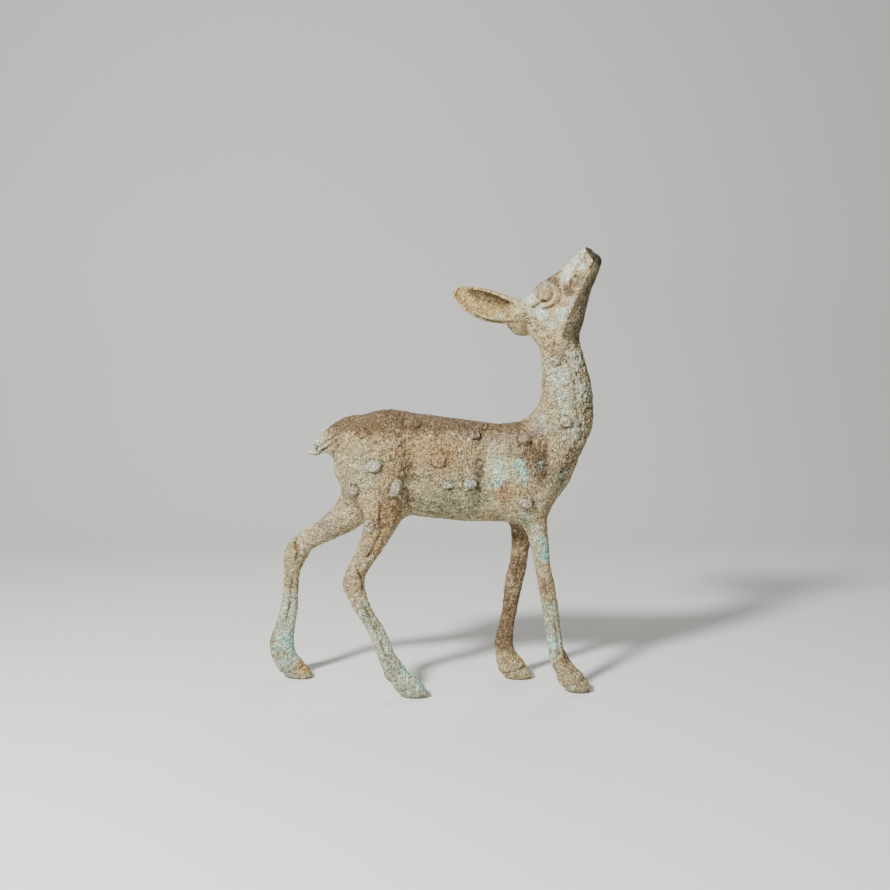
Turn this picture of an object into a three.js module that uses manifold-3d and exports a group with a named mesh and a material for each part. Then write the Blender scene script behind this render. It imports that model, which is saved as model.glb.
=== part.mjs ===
// A standing fawn, cast in aluminium in one piece: the muzzle raised, the head turned to its right,
// long ears laid back, slim walking legs and a coat of raised spots.
// Millimetres, +Z up. The fawn faces +X and its right flank is on the -Y side. The origin is on the
// ground, in the middle of the box around the figure.
//
// The figure is one smooth field, below zero inside the metal. Oval limbs melt into one another in it,
// and spots and creases push it out or in. The field is sampled on a grid of small tetrahedra, the
// surface found there is thinned to fewer, larger triangles, and the soles are cut flat.

import * as THREE from 'three';
import Module from 'manifold-3d';

// Driving sizes, in millimetres
const HEIGHT = 600; // from the soles to the top of the muzzle
const SPOT_RELIEF = 2.4; // how far a spot stands out of the coat
const EAR_WALL = 7.5; // the shell behind the hollow of an ear
const EYE_RELIEF = 3.6; // how far an eyeball stands out of the face
const LID_DEPTH = 1.8; // the cut lines around an eye
const MOUTH_DEPTH = 1.8; // the cut line of the mouth
const NOSTRIL_DEPTH = 3.0;
const CREASE_DEPTH = 2.7; // the folds behind the shoulder, in the flank and before the tail
const CLEFT_DEPTH = 3.0; // the slot between the two toes of a hoof
const CLEFT_WIDTH = 3.6;
const DEWCLAW_RADIUS = 4.8; // the two small claws behind each fetlock

// Fineness of the mesh, as counts
const CELLS_PER_HEIGHT = 150;
const TRIANGLE_BUDGET = 9400;
const HEAD_SHARE = 5; // how much more a change of the head weighs than one elsewhere

// The pose, the proportions and the carving are in hundredths of the height
const HUNDREDTH = HEIGHT / 100;
const inHundredths = (millimetres) => millimetres / HUNDREDTH;

// Turned and raised head, in degrees: the turn is towards -Y
const HEAD_TURN = 28;
const HEAD_RAISE = 52.6;
const HEAD_ORIGIN = [25.2, 0, 86.1];

// How softly each form melts into the ones before it
const FAR = 5.5; // where a form no longer melts into another
const MELT = { neck: 5, thigh: 4, forearm: 4.5, tail: 2.5, head: 3, ear: 1.4, dewclaw: 0.8 };

// Stations along each limb: [x, y, z, half depth in side view, half width across]
const BARREL = [
  [-21.6, 0, 56.4, 5.2, 5.0],
  [-16.9, 0, 53.8, 10.5, 7.2],
  [-10.3, 0, 52.1, 11.6, 7.6],
  [-1.1, 0, 50.8, 11.6, 7.9],
  [8.0, 0, 49.8, 11.4, 7.7],
  [16.0, 0, 49.4, 10.4, 7.0],
  [21.4, 0, 51.9, 8.1, 6.2],
];
const NECK = [
  [18.6, 0, 51.5, 8.7, 6.8],
  [23.7, 0, 56.0, 7.4, 6.2],
  [27.0, 0, 61.5, 6.9, 5.4],
  [27.9, 0, 67.3, 5.9, 4.6],
  [27.1, 0, 74.1, 5.1, 4.1],
  [25.9, 0, 79.8, 4.4, 3.8],
  [25.0, 0, 83.9, 4.1, 3.6],
];
const TAIL = [
  [-21.1, 0, 60.2, 2.3, 2.0],
  [-24.3, 0, 58.3, 2.4, 2.4],
  [-27.3, 0, 56.2, 2.2, 2.1],
  [-30.1, 0, 54.5, 1.1, 1.2],
];
// The last three stations of each leg are its hoof
const RIGHT_HIND_LEG = [
  [-15.8, -3.9, 55.6, 5.2, 3.9], // hip
  [-14.6, -4.0, 48.8, 5.8, 4.3], // thigh
  [-13.9, -4.4, 42.8, 4.8, 3.8], // knee
  [-14.7, -4.9, 38.6, 3.7, 3.0],
  [-17.0, -5.5, 33.5, 2.7, 2.3], // shin
  [-20.1, -6.2, 28.0, 2.2, 1.9], // hock
  [-20.8, -6.5, 25.5, 2.5, 1.9],
  [-19.8, -6.8, 22.4, 2.15, 1.6],
  [-18.0, -7.2, 18.7, 1.8, 1.4], // cannon
  [-15.5, -7.6, 14.7, 1.9, 1.4],
  [-13.0, -8.2, 8.4, 2.0, 1.8], // fetlock
  [-11.9, -8.2, 6.6, 2.4, 2.0],
  [-10.4, -8.2, 4.5, 2.2, 2.0], // pastern
  [-8.7, -8.2, 2.5, 2.6, 2.4],
  [-6.5, -8.2, 1.6, 2.1, 2.4],
  [-4.9, -8.2, 0.9, 1.2, 1.5],
];
const LEFT_HIND_LEG = [
  [-16.6, 3.9, 54.1, 5.6, 3.9], // hip
  [-17.3, 4.0, 47.5, 4.7, 4.2], // thigh
  [-21.1, 4.4, 40.7, 4.1, 3.6], // knee
  [-27.3, 5.2, 36.0, 2.8, 2.8], // shin
  [-32.3, 5.8, 33.1, 2.4, 2.2],
  [-34.6, 6.2, 30.2, 2.9, 2.0], // hock
  [-35.5, 6.5, 27.1, 2.1, 1.8],
  [-35.9, 6.9, 22.8, 1.8, 1.5], // cannon
  [-36.3, 7.3, 17.9, 2.1, 1.5],
  [-37.3, 7.7, 13.1, 2.3, 1.6],
  [-38.5, 8.0, 8.8, 2.9, 1.9], // fetlock
  [-37.9, 8.2, 6.0, 2.8, 2.0],
  [-37.0, 8.2, 3.8, 2.7, 2.1], // pastern
  [-35.3, 8.2, 2.2, 2.5, 2.4],
  [-33.3, 8.2, 1.2, 1.8, 2.3],
  [-31.9, 8.2, 0.6, 1.0, 1.4],
];
const RIGHT_FORELEG = [
  [16.4, -3.4, 50.4, 5.9, 3.4], // shoulder
  [17.7, -3.8, 44.8, 5.0, 3.4], // elbow
  [19.8, -4.1, 39.8, 2.9, 2.8],
  [20.7, -4.4, 36.5, 2.4, 2.2], // forearm
  [21.9, -5.0, 28.9, 1.8, 1.8],
  [22.8, -5.2, 24.2, 1.9, 1.8], // knee
  [23.5, -5.4, 19.7, 1.9, 1.6],
  [24.2, -5.6, 14.7, 1.8, 1.4], // cannon
  [24.9, -5.7, 10.1, 1.8, 1.5],
  [25.6, -5.8, 7.6, 2.1, 1.8], // fetlock
  [27.0, -5.8, 5.4, 2.2, 2.0], // pastern
  [28.4, -5.8, 3.0, 2.7, 2.4],
  [30.4, -5.8, 1.6, 2.2, 2.4],
  [32.0, -5.8, 0.8, 1.2, 1.5],
];
const LEFT_FORELEG = [
  [17.6, 3.4, 47.5, 5.1, 3.4], // shoulder
  [17.9, 3.8, 41.6, 3.1, 3.0], // elbow
  [18.0, 4.2, 36.1, 2.4, 2.3], // forearm
  [17.9, 4.6, 31.8, 2.2, 2.0],
  [17.3, 5.0, 27.0, 2.1, 1.8], // knee
  [16.3, 5.2, 22.7, 2.2, 1.7],
  [15.7, 5.4, 17.9, 1.85, 1.5], // cannon
  [14.9, 5.6, 13.5, 1.85, 1.4],
  [14.1, 5.7, 8.7, 2.2, 1.7], // fetlock
  [14.6, 5.8, 6.3, 2.3, 1.9],
  [15.4, 5.8, 4.1, 2.8, 2.2], // pastern
  [16.7, 5.8, 2.2, 3.0, 2.4],
  [18.5, 5.8, 1.3, 2.2, 2.4],
  [20.1, 5.8, 0.8, 1.2, 1.5],
];
// Each hoof's slot between its toes: where it starts, and its place across
const CLEFTS = [
  { from: -7.5, across: -8.2 },
  { from: -34.5, across: 8.2 },
  { from: 29.5, across: -5.8 },
  { from: 17.5, across: 5.8 },
];
// The place between each leg's two dewclaws, and how far to either side of it they are
const DEWCLAWS = [
  [-13.2, -8.2, 4.6],
  [-40.0, 8.2, 5.2],
  [25.2, -5.8, 6.0],
  [13.1, 5.8, 5.0],
];
const DEWCLAW_SPREAD = 1;
// The head in its own frame: x to the muzzle, y to its left, z to the forehead
const SKULL = [
  [-4.2, 0, 0.3, 4.6, 3.6],
  [0, 0, 0.3, 6.9, 4.8],
  [4.4, 0, 0.4, 5.5, 4.4],
  [7.3, 0, 0.4, 4.3, 3.7],
  [10.7, 0, 0.5, 3.6, 2.9],
  [13.2, 0, 0.7, 3.1, 2.6],
  [15.2, 0, 0.8, 2.6, 2.3],
];
const EAR = [
  [-3.5, 3.6, 5.3, 2.7, 1.9],
  [-5.5, 5.6, 7.8, 3.1, 2.1],
  [-6.5, 7.0, 10.2, 3.6, 2.1],
  [-7.3, 8.3, 12.7, 3.6, 1.9],
  [-8.1, 9.4, 15.3, 3.0, 1.5],
  [-8.4, 10.4, 18.3, 1.8, 1.1],
];
const LEFT_EAR_LAID_BACK = 19; // degrees further than the right ear
const LEFT_EAR_SPREAD = 20; // degrees further out from the head
const EAR_OPENING = [0.35, 0.9, -0.2]; // where the hollow of the left ear faces
const RIM_ROUNDING = 1; // of the edge between an ear's back and its hollow
const EYE = { x: 2.5, z: 3.1, radius: 1.7 };
// Spots of the coat: [x, z, half length, half height]; the near flank's places, echoed on the other side
const SPOTS = [
  [-16.0, 52.0, 2.1, 1.4],
  [-11.2, 47.1, 1.6, 2.1],
  [-1.6, 53.1, 1.7, 1.6],
  [-7.6, 61.1, 1.7, 1.5],
  [-18.6, 59.3, 1.6, 1.1],
  [-20.5, 46.2, 1.3, 1.3],
  [-17.0, 38.4, 1.2, 1.6],
  [6.2, 58.8, 1.6, 1.2],
  [5.3, 47.9, 1.9, 1.4],
  [17.3, 57.5, 1.7, 1.4],
  [17.7, 43.6, 1.8, 1.3],
  [26.8, 61.6, 1.5, 1.3],
  [24.7, 75.2, 1.2, 1.2],
];
// Folds of the body, each a line of places [x, z] on the flank
const CREASES = [
  [[7.7, 56.4], [7.3, 49.7], [8.4, 43.0]],
  [[22.4, 57.4], [22.2, 48.4]],
  [[-9.4, 56.5], [-8.5, 49.9], [-7.6, 45.4], [-8.7, 42.5]],
  [[-23.9, 57.8], [-25.3, 54.8], [-26.2, 52.6]],
];
const CREASE_WIDTH = 1.7;
const LINE_WIDTH = 0.42;

// Maths of the field

const clamp = (value, low, high) => Math.min(Math.max(value, low), high);

function smoothMin(a, b, blend) {
  const overlap = Math.max(blend - Math.abs(a - b), 0) / blend;
  return Math.min(a, b) - overlap * overlap * blend / 4;
}

function smoothStep(low, high, value) {
  const t = clamp((value - low) / (high - low), 0, 1);
  return t * t * (3 - 2 * t);
}

// Rows of numbers, with steps rows from one to the next on a Catmull-Rom curve through all of them
function smoothRows(rows, steps) {
  const row = (i) => rows[clamp(i, 0, rows.length - 1)];
  const smooth = [];
  for (let i = 0; i < rows.length - 1; i += 1) {
    for (let step = 0; step < steps; step += 1) {
      const t = step / steps;
      smooth.push(row(i).map((here, axis) => {
        const [before, next, after] = [row(i - 1)[axis], row(i + 1)[axis], row(i + 2)[axis]];
        const slopes = t * (next - before);
        const bend = t * t * (2 * before - 5 * here + 4 * next - after);
        const twist = t * t * t * (3 * here - before - 3 * next + after);
        return here + (slopes + bend + twist) / 2;
      }));
    }
  }
  smooth.push(rows.at(-1));
  return smooth;
}

// An oval tube through stations. The side vector points across it: the half width is measured along
// it and the half depth at right angles. A high square number flattens the oval's sides, and a taper
// above zero makes the tube wider on the side that its depth points to.
function limb(stations, { side = [0, 1, 0], square = 2, taper = 0 } = {}) {
  const STEPS = 3;
  const rows = smoothRows(stations, STEPS);
  const centres = rows.map(([x, y, z]) => new THREE.Vector3(x, y, z));
  const nodes = rows.map((row, i) => {
    const before = centres[Math.max(i - 1, 0)];
    const after = centres[Math.min(i + 1, centres.length - 1)];
    const along = after.clone().sub(before).normalize();
    const across = new THREE.Vector3(...side);
    across.addScaledVector(along, -across.dot(along)).normalize();
    const depth = along.clone().cross(across);
    return { centre: centres[i], along, across, depth, deep: row[3], wide: row[4] };
  });
  const box = new THREE.Box3();
  for (const { centre, deep, wide } of nodes) {
    const size = 2 * Math.max(deep, wide);
    box.union(new THREE.Box3().setFromCenterAndSize(centre, new THREE.Vector3(size, size, size)));
  }
  const point = new THREE.Vector3();
  const offset = new THREE.Vector3();
  const spans = nodes.slice(1).map((end, i) => {
    const start = nodes[i];
    const run = end.centre.clone().sub(start.centre);
    const reach = Math.max(start.deep, start.wide, end.deep, end.wide);
    return { start, end, run, lengthSquared: run.lengthSq(), reach };
  });
  const mix = (a, b, t) => a + (b - a) * t;
  const spread = (start, end, t) => mix(offset.dot(start), offset.dot(end), t);

  function distance(x, y, z) {
    point.set(x, y, z);
    const away = box.distanceToPoint(point);
    if (away > FAR) return away;
    let nearest = Infinity;
    for (const { start, end, run, lengthSquared, reach } of spans) {
      offset.subVectors(point, start.centre);
      const t = clamp(offset.dot(run) / lengthSquared, 0, 1);
      offset.addScaledVector(run, -t);
      if (offset.length() - reach > nearest) continue;
      const deep = mix(start.deep, end.deep, t);
      const depth = spread(start.depth, end.depth, t) / deep;
      const wide = mix(start.wide, end.wide, t) * (1 + taper * clamp(depth, -1, 1));
      const across = spread(start.across, end.across, t) / wide;
      const along = spread(start.along, end.along, t) / Math.min(deep, wide);
      const [a, b] = [Math.abs(depth), Math.abs(across)];
      const oval = Math.pow(a, square) + Math.pow(b, square);
      const ring = Math.pow(oval, 1 / square);
      const size = Math.hypot(ring, along);
      if (size < 1e-6) return -Math.min(deep, wide);
      const slope = ring > 0 ? Math.pow(ring, 1 - square) * ring / size : 0;
      const gradient = Math.hypot(
        slope * Math.pow(a, square - 1) / deep,
        slope * Math.pow(b, square - 1) / wide,
        along / size / Math.min(deep, wide),
      );
      nearest = Math.min(nearest, (size - 1) / Math.max(gradient, 0.5 / Math.max(deep, wide)));
    }
    return nearest;
  }
  return Object.assign(distance, { box });
}

// Distance from a point to a bent line through places in space
function lineDistance(places) {
  const box = new THREE.Box3().setFromPoints(places);
  const spans = places.slice(1).map((end, i) => new THREE.Line3(places[i], end));
  const point = new THREE.Vector3();
  const foot = new THREE.Vector3();
  return (x, y, z) => {
    point.set(x, y, z);
    const away = box.distanceToPoint(point);
    if (away > 4) return away;
    let nearest = Infinity;
    for (const span of spans) {
      span.closestPointToPoint(point, true, foot);
      nearest = Math.min(nearest, foot.distanceTo(point));
    }
    return nearest;
  };
}

// The head's own frame
const headFrame = new THREE.Matrix4();
{
  const turn = THREE.MathUtils.degToRad(HEAD_TURN);
  const raise = THREE.MathUtils.degToRad(HEAD_RAISE);
  const muzzle = new THREE.Vector3(
    Math.cos(raise) * Math.cos(turn), -Math.cos(raise) * Math.sin(turn), Math.sin(raise));
  const left = new THREE.Vector3(Math.sin(turn), Math.cos(turn), 0);
  const forehead = muzzle.clone().cross(left);
  headFrame.makeBasis(muzzle, left, forehead).setPosition(...HEAD_ORIGIN);
}
const intoHead = headFrame.clone().invert();

// The skull with its eyes, mouth, nostrils and ears, in the head's frame; both sides are alike
function headField() {
  const skull = limb(SKULL, { square: 2.5, taper: 0.12 });
  const ear = limb(EAR, { side: EAR_OPENING, square: 2.4 });
  const wall = inHundredths(EAR_WALL);
  const opening = new THREE.Vector3(...EAR_OPENING).normalize();
  const hollowRows = EAR.slice(1).map(([x, y, z, deep, thick]) => {
    const shift = thick * 0.8;
    const inner = Math.max(deep - wall, 0.15);
    return [x + opening.x * shift, y + opening.y * shift, z + opening.z * shift,
      inner, Math.max(thick + shift - wall, 0.15)];
  });
  const hollow = limb(hollowRows, { side: EAR_OPENING });
  const eyeSide = 4.3;
  const arc = (radius, from, to) => {
    const places = [];
    for (let i = 0; i <= 8; i += 1) {
      const angle = THREE.MathUtils.degToRad(from + (to - from) * i / 8);
      places.push(new THREE.Vector3(
        EYE.x + radius * Math.cos(angle), eyeSide, EYE.z + radius * Math.sin(angle)));
    }
    return lineDistance(places);
  };
  const lid = arc(EYE.radius, -180, -15);
  const pouch = arc(EYE.radius * 1.95, -152, -15);
  const corner = lineDistance([
    new THREE.Vector3(EYE.x - EYE.radius * 2, eyeSide, EYE.z + 0.3),
    new THREE.Vector3(EYE.x - EYE.radius, eyeSide, EYE.z),
  ]);
  const mouth = lineDistance([[15.5, 0, -1.2], [12, 2.6, -1.5], [9, 3.6, -1.6]].map(
    (place) => new THREE.Vector3(...place)));
  const root = new THREE.Vector3(...EAR[0]);
  const toLeftEar = new THREE.Matrix4().makeRotationY(-THREE.MathUtils.degToRad(LEFT_EAR_LAID_BACK));
  toLeftEar.multiply(new THREE.Matrix4().makeRotationX(-THREE.MathUtils.degToRad(LEFT_EAR_SPREAD)));
  const fromLeftEar = toLeftEar.clone().invert();
  const place = new THREE.Vector3();
  const box = skull.box.clone().union(ear.box);
  box.expandByPoint(place.set(0, -box.max.y, 0));
  box.union(ear.box.clone().translate(root.clone().negate()).applyMatrix4(toLeftEar).translate(root));
  const groove = (away, width) => Math.exp(-(away * away) / (width * width));
  const noseEnd = 15.9;

  function distance(x, y, z) {
    const side = Math.abs(y);
    let field = skull(x, side, z);
    field = -smoothMin(-field, noseEnd - x, 0.8);
    if (field < 3) {
      const eyeAway = Math.hypot(x - EYE.x, (side - eyeSide) * 0.6, z - EYE.z) / EYE.radius;
      field -= inHundredths(EYE_RELIEF) * (1 - smoothStep(0.2, 1.05, eyeAway));
      field += inHundredths(LID_DEPTH) * groove(lid(x, side, z), LINE_WIDTH);
      field += inHundredths(LID_DEPTH) * groove(pouch(x, side, z), LINE_WIDTH);
      field += inHundredths(LID_DEPTH) * groove(corner(x, side, z), LINE_WIDTH);
      field += inHundredths(MOUTH_DEPTH) * groove(mouth(x, side, z), LINE_WIDTH);
      const nostril = Math.hypot(x - 15.9, side - 1.3, z - 0.9);
      field += inHundredths(NOSTRIL_DEPTH) * groove(nostril, 0.7);
    }
    place.set(x, side, z);
    if (y > 0) place.sub(root).applyMatrix4(fromLeftEar).add(root);
    const outer = ear(place.x, place.y, place.z);
    const shell = -smoothMin(-outer, hollow(place.x, place.y, place.z), RIM_ROUNDING);
    return smoothMin(field, shell, MELT.ear);
  }
  return Object.assign(distance, { box });
}

// The body without its surface relief
function bodyField() {
  const barrel = limb(BARREL, { square: 2.2 });
  const neck = limb(NECK, { square: 2.1 });
  const tail = limb(TAIL);
  const hindLegs = [limb(RIGHT_HIND_LEG), limb(LEFT_HIND_LEG)];
  const forelegs = [limb(RIGHT_FORELEG), limb(LEFT_FORELEG)];
  const head = headField();
  const place = new THREE.Vector3();
  const headBox = head.box.clone().applyMatrix4(headFrame);
  const box = headBox.clone();
  for (const form of [barrel, neck, tail, ...hindLegs, ...forelegs]) box.union(form.box);
  const clawRadius = inHundredths(DEWCLAW_RADIUS);

  function distance(x, y, z) {
    let field = barrel(x, y, z);
    field = smoothMin(field, neck(x, y, z), MELT.neck);
    for (const leg of hindLegs) field = smoothMin(field, leg(x, y, z), MELT.thigh);
    for (const leg of forelegs) field = smoothMin(field, leg(x, y, z), MELT.forearm);
    field = smoothMin(field, tail(x, y, z), MELT.tail);
    for (const [clawX, clawY, clawZ] of DEWCLAWS) {
      const across = Math.abs(y - clawY) - DEWCLAW_SPREAD;
      const claw = Math.hypot(x - clawX, across, z - clawZ) - clawRadius;
      field = smoothMin(field, claw, MELT.dewclaw);
    }
    place.set(x, y, z);
    const away = headBox.distanceToPoint(place);
    if (away > 4) return smoothMin(field, away, MELT.head);
    place.applyMatrix4(intoHead);
    return smoothMin(field, head(place.x, place.y, place.z), MELT.head);
  }
  return Object.assign(distance, { box });
}

// The place on one flank at x, z: in from the side until the field turns negative
function onFlank(field, x, z, sideSign) {
  let outside = sideSign * 14;
  let inside = 0;
  for (let i = 0; i < 24; i += 1) {
    const middle = (outside + inside) / 2;
    if (field(x, middle, z) > 0) outside = middle;
    else inside = middle;
  }
  return new THREE.Vector3(x, inside, z);
}

// The whole figure with its spots, folds and split hooves
function figureField() {
  const body = bodyField();
  const details = [];
  for (const sideSign of [-1, 1]) {
    for (const [x, z, halfLength, halfHeight] of SPOTS) {
      const centre = onFlank(body, x, z, sideSign);
      const relief = inHundredths(SPOT_RELIEF);
      details.push({
        centre,
        reach: Math.max(halfLength, halfHeight) * 1.6,
        push: (dx, dy, dz) => {
          const away = Math.hypot(dx / halfLength, dy / 2.2, dz / halfHeight);
          return -relief * (1 - smoothStep(0.7, 1.1, away));
        },
      });
    }
    for (const crease of CREASES) {
      const rows = smoothRows(crease, 4);
      const places = rows.map(([x, z]) => onFlank(body, x, z, sideSign));
      const away = lineDistance(places);
      const sphere = new THREE.Sphere().setFromPoints(places);
      const depth = inHundredths(CREASE_DEPTH);
      const { x: cx, y: cy, z: cz } = sphere.center;
      details.push({
        centre: sphere.center,
        reach: sphere.radius + 3 * CREASE_WIDTH,
        push: (dx, dy, dz) => {
          const gap = away(cx + dx, cy + dy, cz + dz) / CREASE_WIDTH;
          return depth * Math.exp(-gap * gap);
        },
      });
    }
  }
  const cleftDepth = inHundredths(CLEFT_DEPTH);
  const cleftWidth = inHundredths(CLEFT_WIDTH);
  for (const { from, across } of CLEFTS) {
    details.push({
      centre: new THREE.Vector3(from, across, 1.5),
      reach: 5,
      push: (dx, dy, dz) => {
        const slot = Math.exp(-Math.pow(2 * dy / cleftWidth, 2));
        return cleftDepth * slot * smoothStep(-0.6, 0.6, dx) * smoothStep(-1.2, -0.5, dz);
      },
    });
  }
  function distance(x, y, z) {
    let field = body(x, y, z);
    if (Math.abs(field) > 2) return field;
    for (const { centre, reach, push } of details) {
      const dx = x - centre.x;
      const dy = y - centre.y;
      const dz = z - centre.z;
      if (dx * dx + dy * dy + dz * dz < reach * reach) field += push(dx, dy, dz);
    }
    return field;
  }
  return Object.assign(distance, { box: body.box });
}

// The six tetrahedra of a cube: each walks from its low corner to its high one, an axis at a time
const WALKS = [
  { axes: [0, 1, 2], positive: true },
  { axes: [1, 2, 0], positive: true },
  { axes: [2, 0, 1], positive: true },
  { axes: [0, 2, 1], positive: false },
  { axes: [2, 1, 0], positive: false },
  { axes: [1, 0, 2], positive: false },
];

// The closed surface where the field is zero, in a box, from tetrahedra of one cell size
function polygonise(field, box, cell) {
  const count = box.getSize(new THREE.Vector3()).divideScalar(cell).ceil();
  const [nx, ny, nz] = [count.x + 1, count.y + 1, count.z + 1];
  const strides = [1, nx, nx * ny];
  const values = new Float64Array(nx * ny * nz).fill(NaN);
  const placeOf = (corner) => {
    const k = Math.floor(corner / strides[2]);
    const j = Math.floor((corner - k * strides[2]) / nx);
    const i = corner - k * strides[2] - j * nx;
    return [box.min.x + i * cell, box.min.y + j * cell, box.min.z + k * cell];
  };
  const valueAt = (corner) => {
    if (Number.isNaN(values[corner])) values[corner] = field(...placeOf(corner)) || 1e-9;
    return values[corner];
  };
  const cubeCorners = [0, 1, nx, nx + 1, nx * ny, nx * ny + 1, nx * ny + nx, nx * ny + nx + 1];
  const isCrossed = (low) => {
    const below = valueAt(low) < 0;
    return cubeCorners.some((step) => valueAt(low + step) < 0 !== below);
  };
  const positions = [];
  const triangles = [];
  const crossings = new Map();
  const crossing = (a, b) => {
    const key = Math.min(a, b) * strides[2] * 2 + Math.abs(a - b);
    let index = crossings.get(key);
    if (index === undefined) {
      const t = clamp(valueAt(a) / (valueAt(a) - valueAt(b)), 0.06, 0.94);
      const [start, end] = [placeOf(a), placeOf(b)];
      index = positions.length / 3;
      positions.push(...start.map((from, axis) => from + (end[axis] - from) * t));
      crossings.set(key, index);
    }
    return index;
  };
  const addTriangle = (a, b, c, positive) => triangles.push(...(positive ? [a, b, c] : [a, c, b]));
  // The parity of a tetrahedron's corners, taken in the order given
  const isEven = (order) => {
    let swaps = 0;
    for (let i = 0; i < 4; i += 1) {
      for (let j = i + 1; j < 4; j += 1) if (order[i] > order[j]) swaps += 1;
    }
    return swaps % 2 === 0;
  };
  const tetrahedron = (corners, positive) => {
    const inside = [];
    const outside = [];
    corners.forEach((corner, i) => (valueAt(corner) < 0 ? inside : outside).push(i));
    if (inside.length === 0 || outside.length === 0) return;
    const cut = (i, j) => crossing(corners[i], corners[j]);
    if (inside.length === 1) {
      const [i] = inside;
      const [a, b, c] = outside;
      addTriangle(cut(i, a), cut(i, b), cut(i, c), isEven([i, a, b, c]) === positive);
    } else if (inside.length === 3) {
      const [o] = outside;
      const [a, b, c] = inside;
      addTriangle(cut(o, a), cut(o, c), cut(o, b), isEven([o, a, b, c]) === positive);
    } else {
      const [i, j] = inside;
      const [a, b] = outside;
      const upright = isEven([i, j, a, b]) === positive;
      addTriangle(cut(i, a), cut(j, b), cut(j, a), upright);
      addTriangle(cut(i, a), cut(i, b), cut(j, b), upright);
    }
  };
  const BLOCK = 6;
  const blockReach = BLOCK * cell * Math.sqrt(3) / 2 * 1.5;
  const blocks = (n) => Math.ceil((n - 1) / BLOCK);
  for (let bk = 0; bk < blocks(nz); bk += 1) {
    for (let bj = 0; bj < blocks(ny); bj += 1) {
      for (let bi = 0; bi < blocks(nx); bi += 1) {
        const middle = [bi, bj, bk].map((b, axis) =>
          box.min.getComponent(axis) + (b + 0.5) * BLOCK * cell);
        if (Math.abs(field(...middle)) > blockReach) continue;
        for (let k = bk * BLOCK; k < Math.min((bk + 1) * BLOCK, nz - 1); k += 1) {
          for (let j = bj * BLOCK; j < Math.min((bj + 1) * BLOCK, ny - 1); j += 1) {
            for (let i = bi * BLOCK; i < Math.min((bi + 1) * BLOCK, nx - 1); i += 1) {
              const low = i + j * strides[1] + k * strides[2];
              if (!isCrossed(low)) continue;
              for (const { axes, positive } of WALKS) {
                const second = low + strides[axes[0]];
                const third = second + strides[axes[1]];
                tetrahedron([low, second, third, third + strides[axes[2]]], positive);
              }
            }
          }
        }
      }
    }
  }
  return { positions, triangles };
}

// A heap that gives back its cheapest entry first
class CheapestFirst {
  entries = [];

  push(entry) {
    const { entries } = this;
    let i = entries.push(entry) - 1;
    while (i > 0) {
      const parent = (i - 1) >> 1;
      if (entries[parent].cost <= entry.cost) break;
      entries[i] = entries[parent];
      i = parent;
    }
    entries[i] = entry;
  }

  pop() {
    const { entries } = this;
    const first = entries[0];
    const last = entries.pop();
    if (entries.length === 0) return first;
    let i = 0;
    for (;;) {
      let child = 2 * i + 1;
      if (child >= entries.length) break;
      if (child + 1 < entries.length && entries[child + 1].cost < entries[child].cost) child += 1;
      if (entries[child].cost >= last.cost) break;
      entries[i] = entries[child];
      i = child;
    }
    entries[i] = last;
    return first;
  }
}

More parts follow.
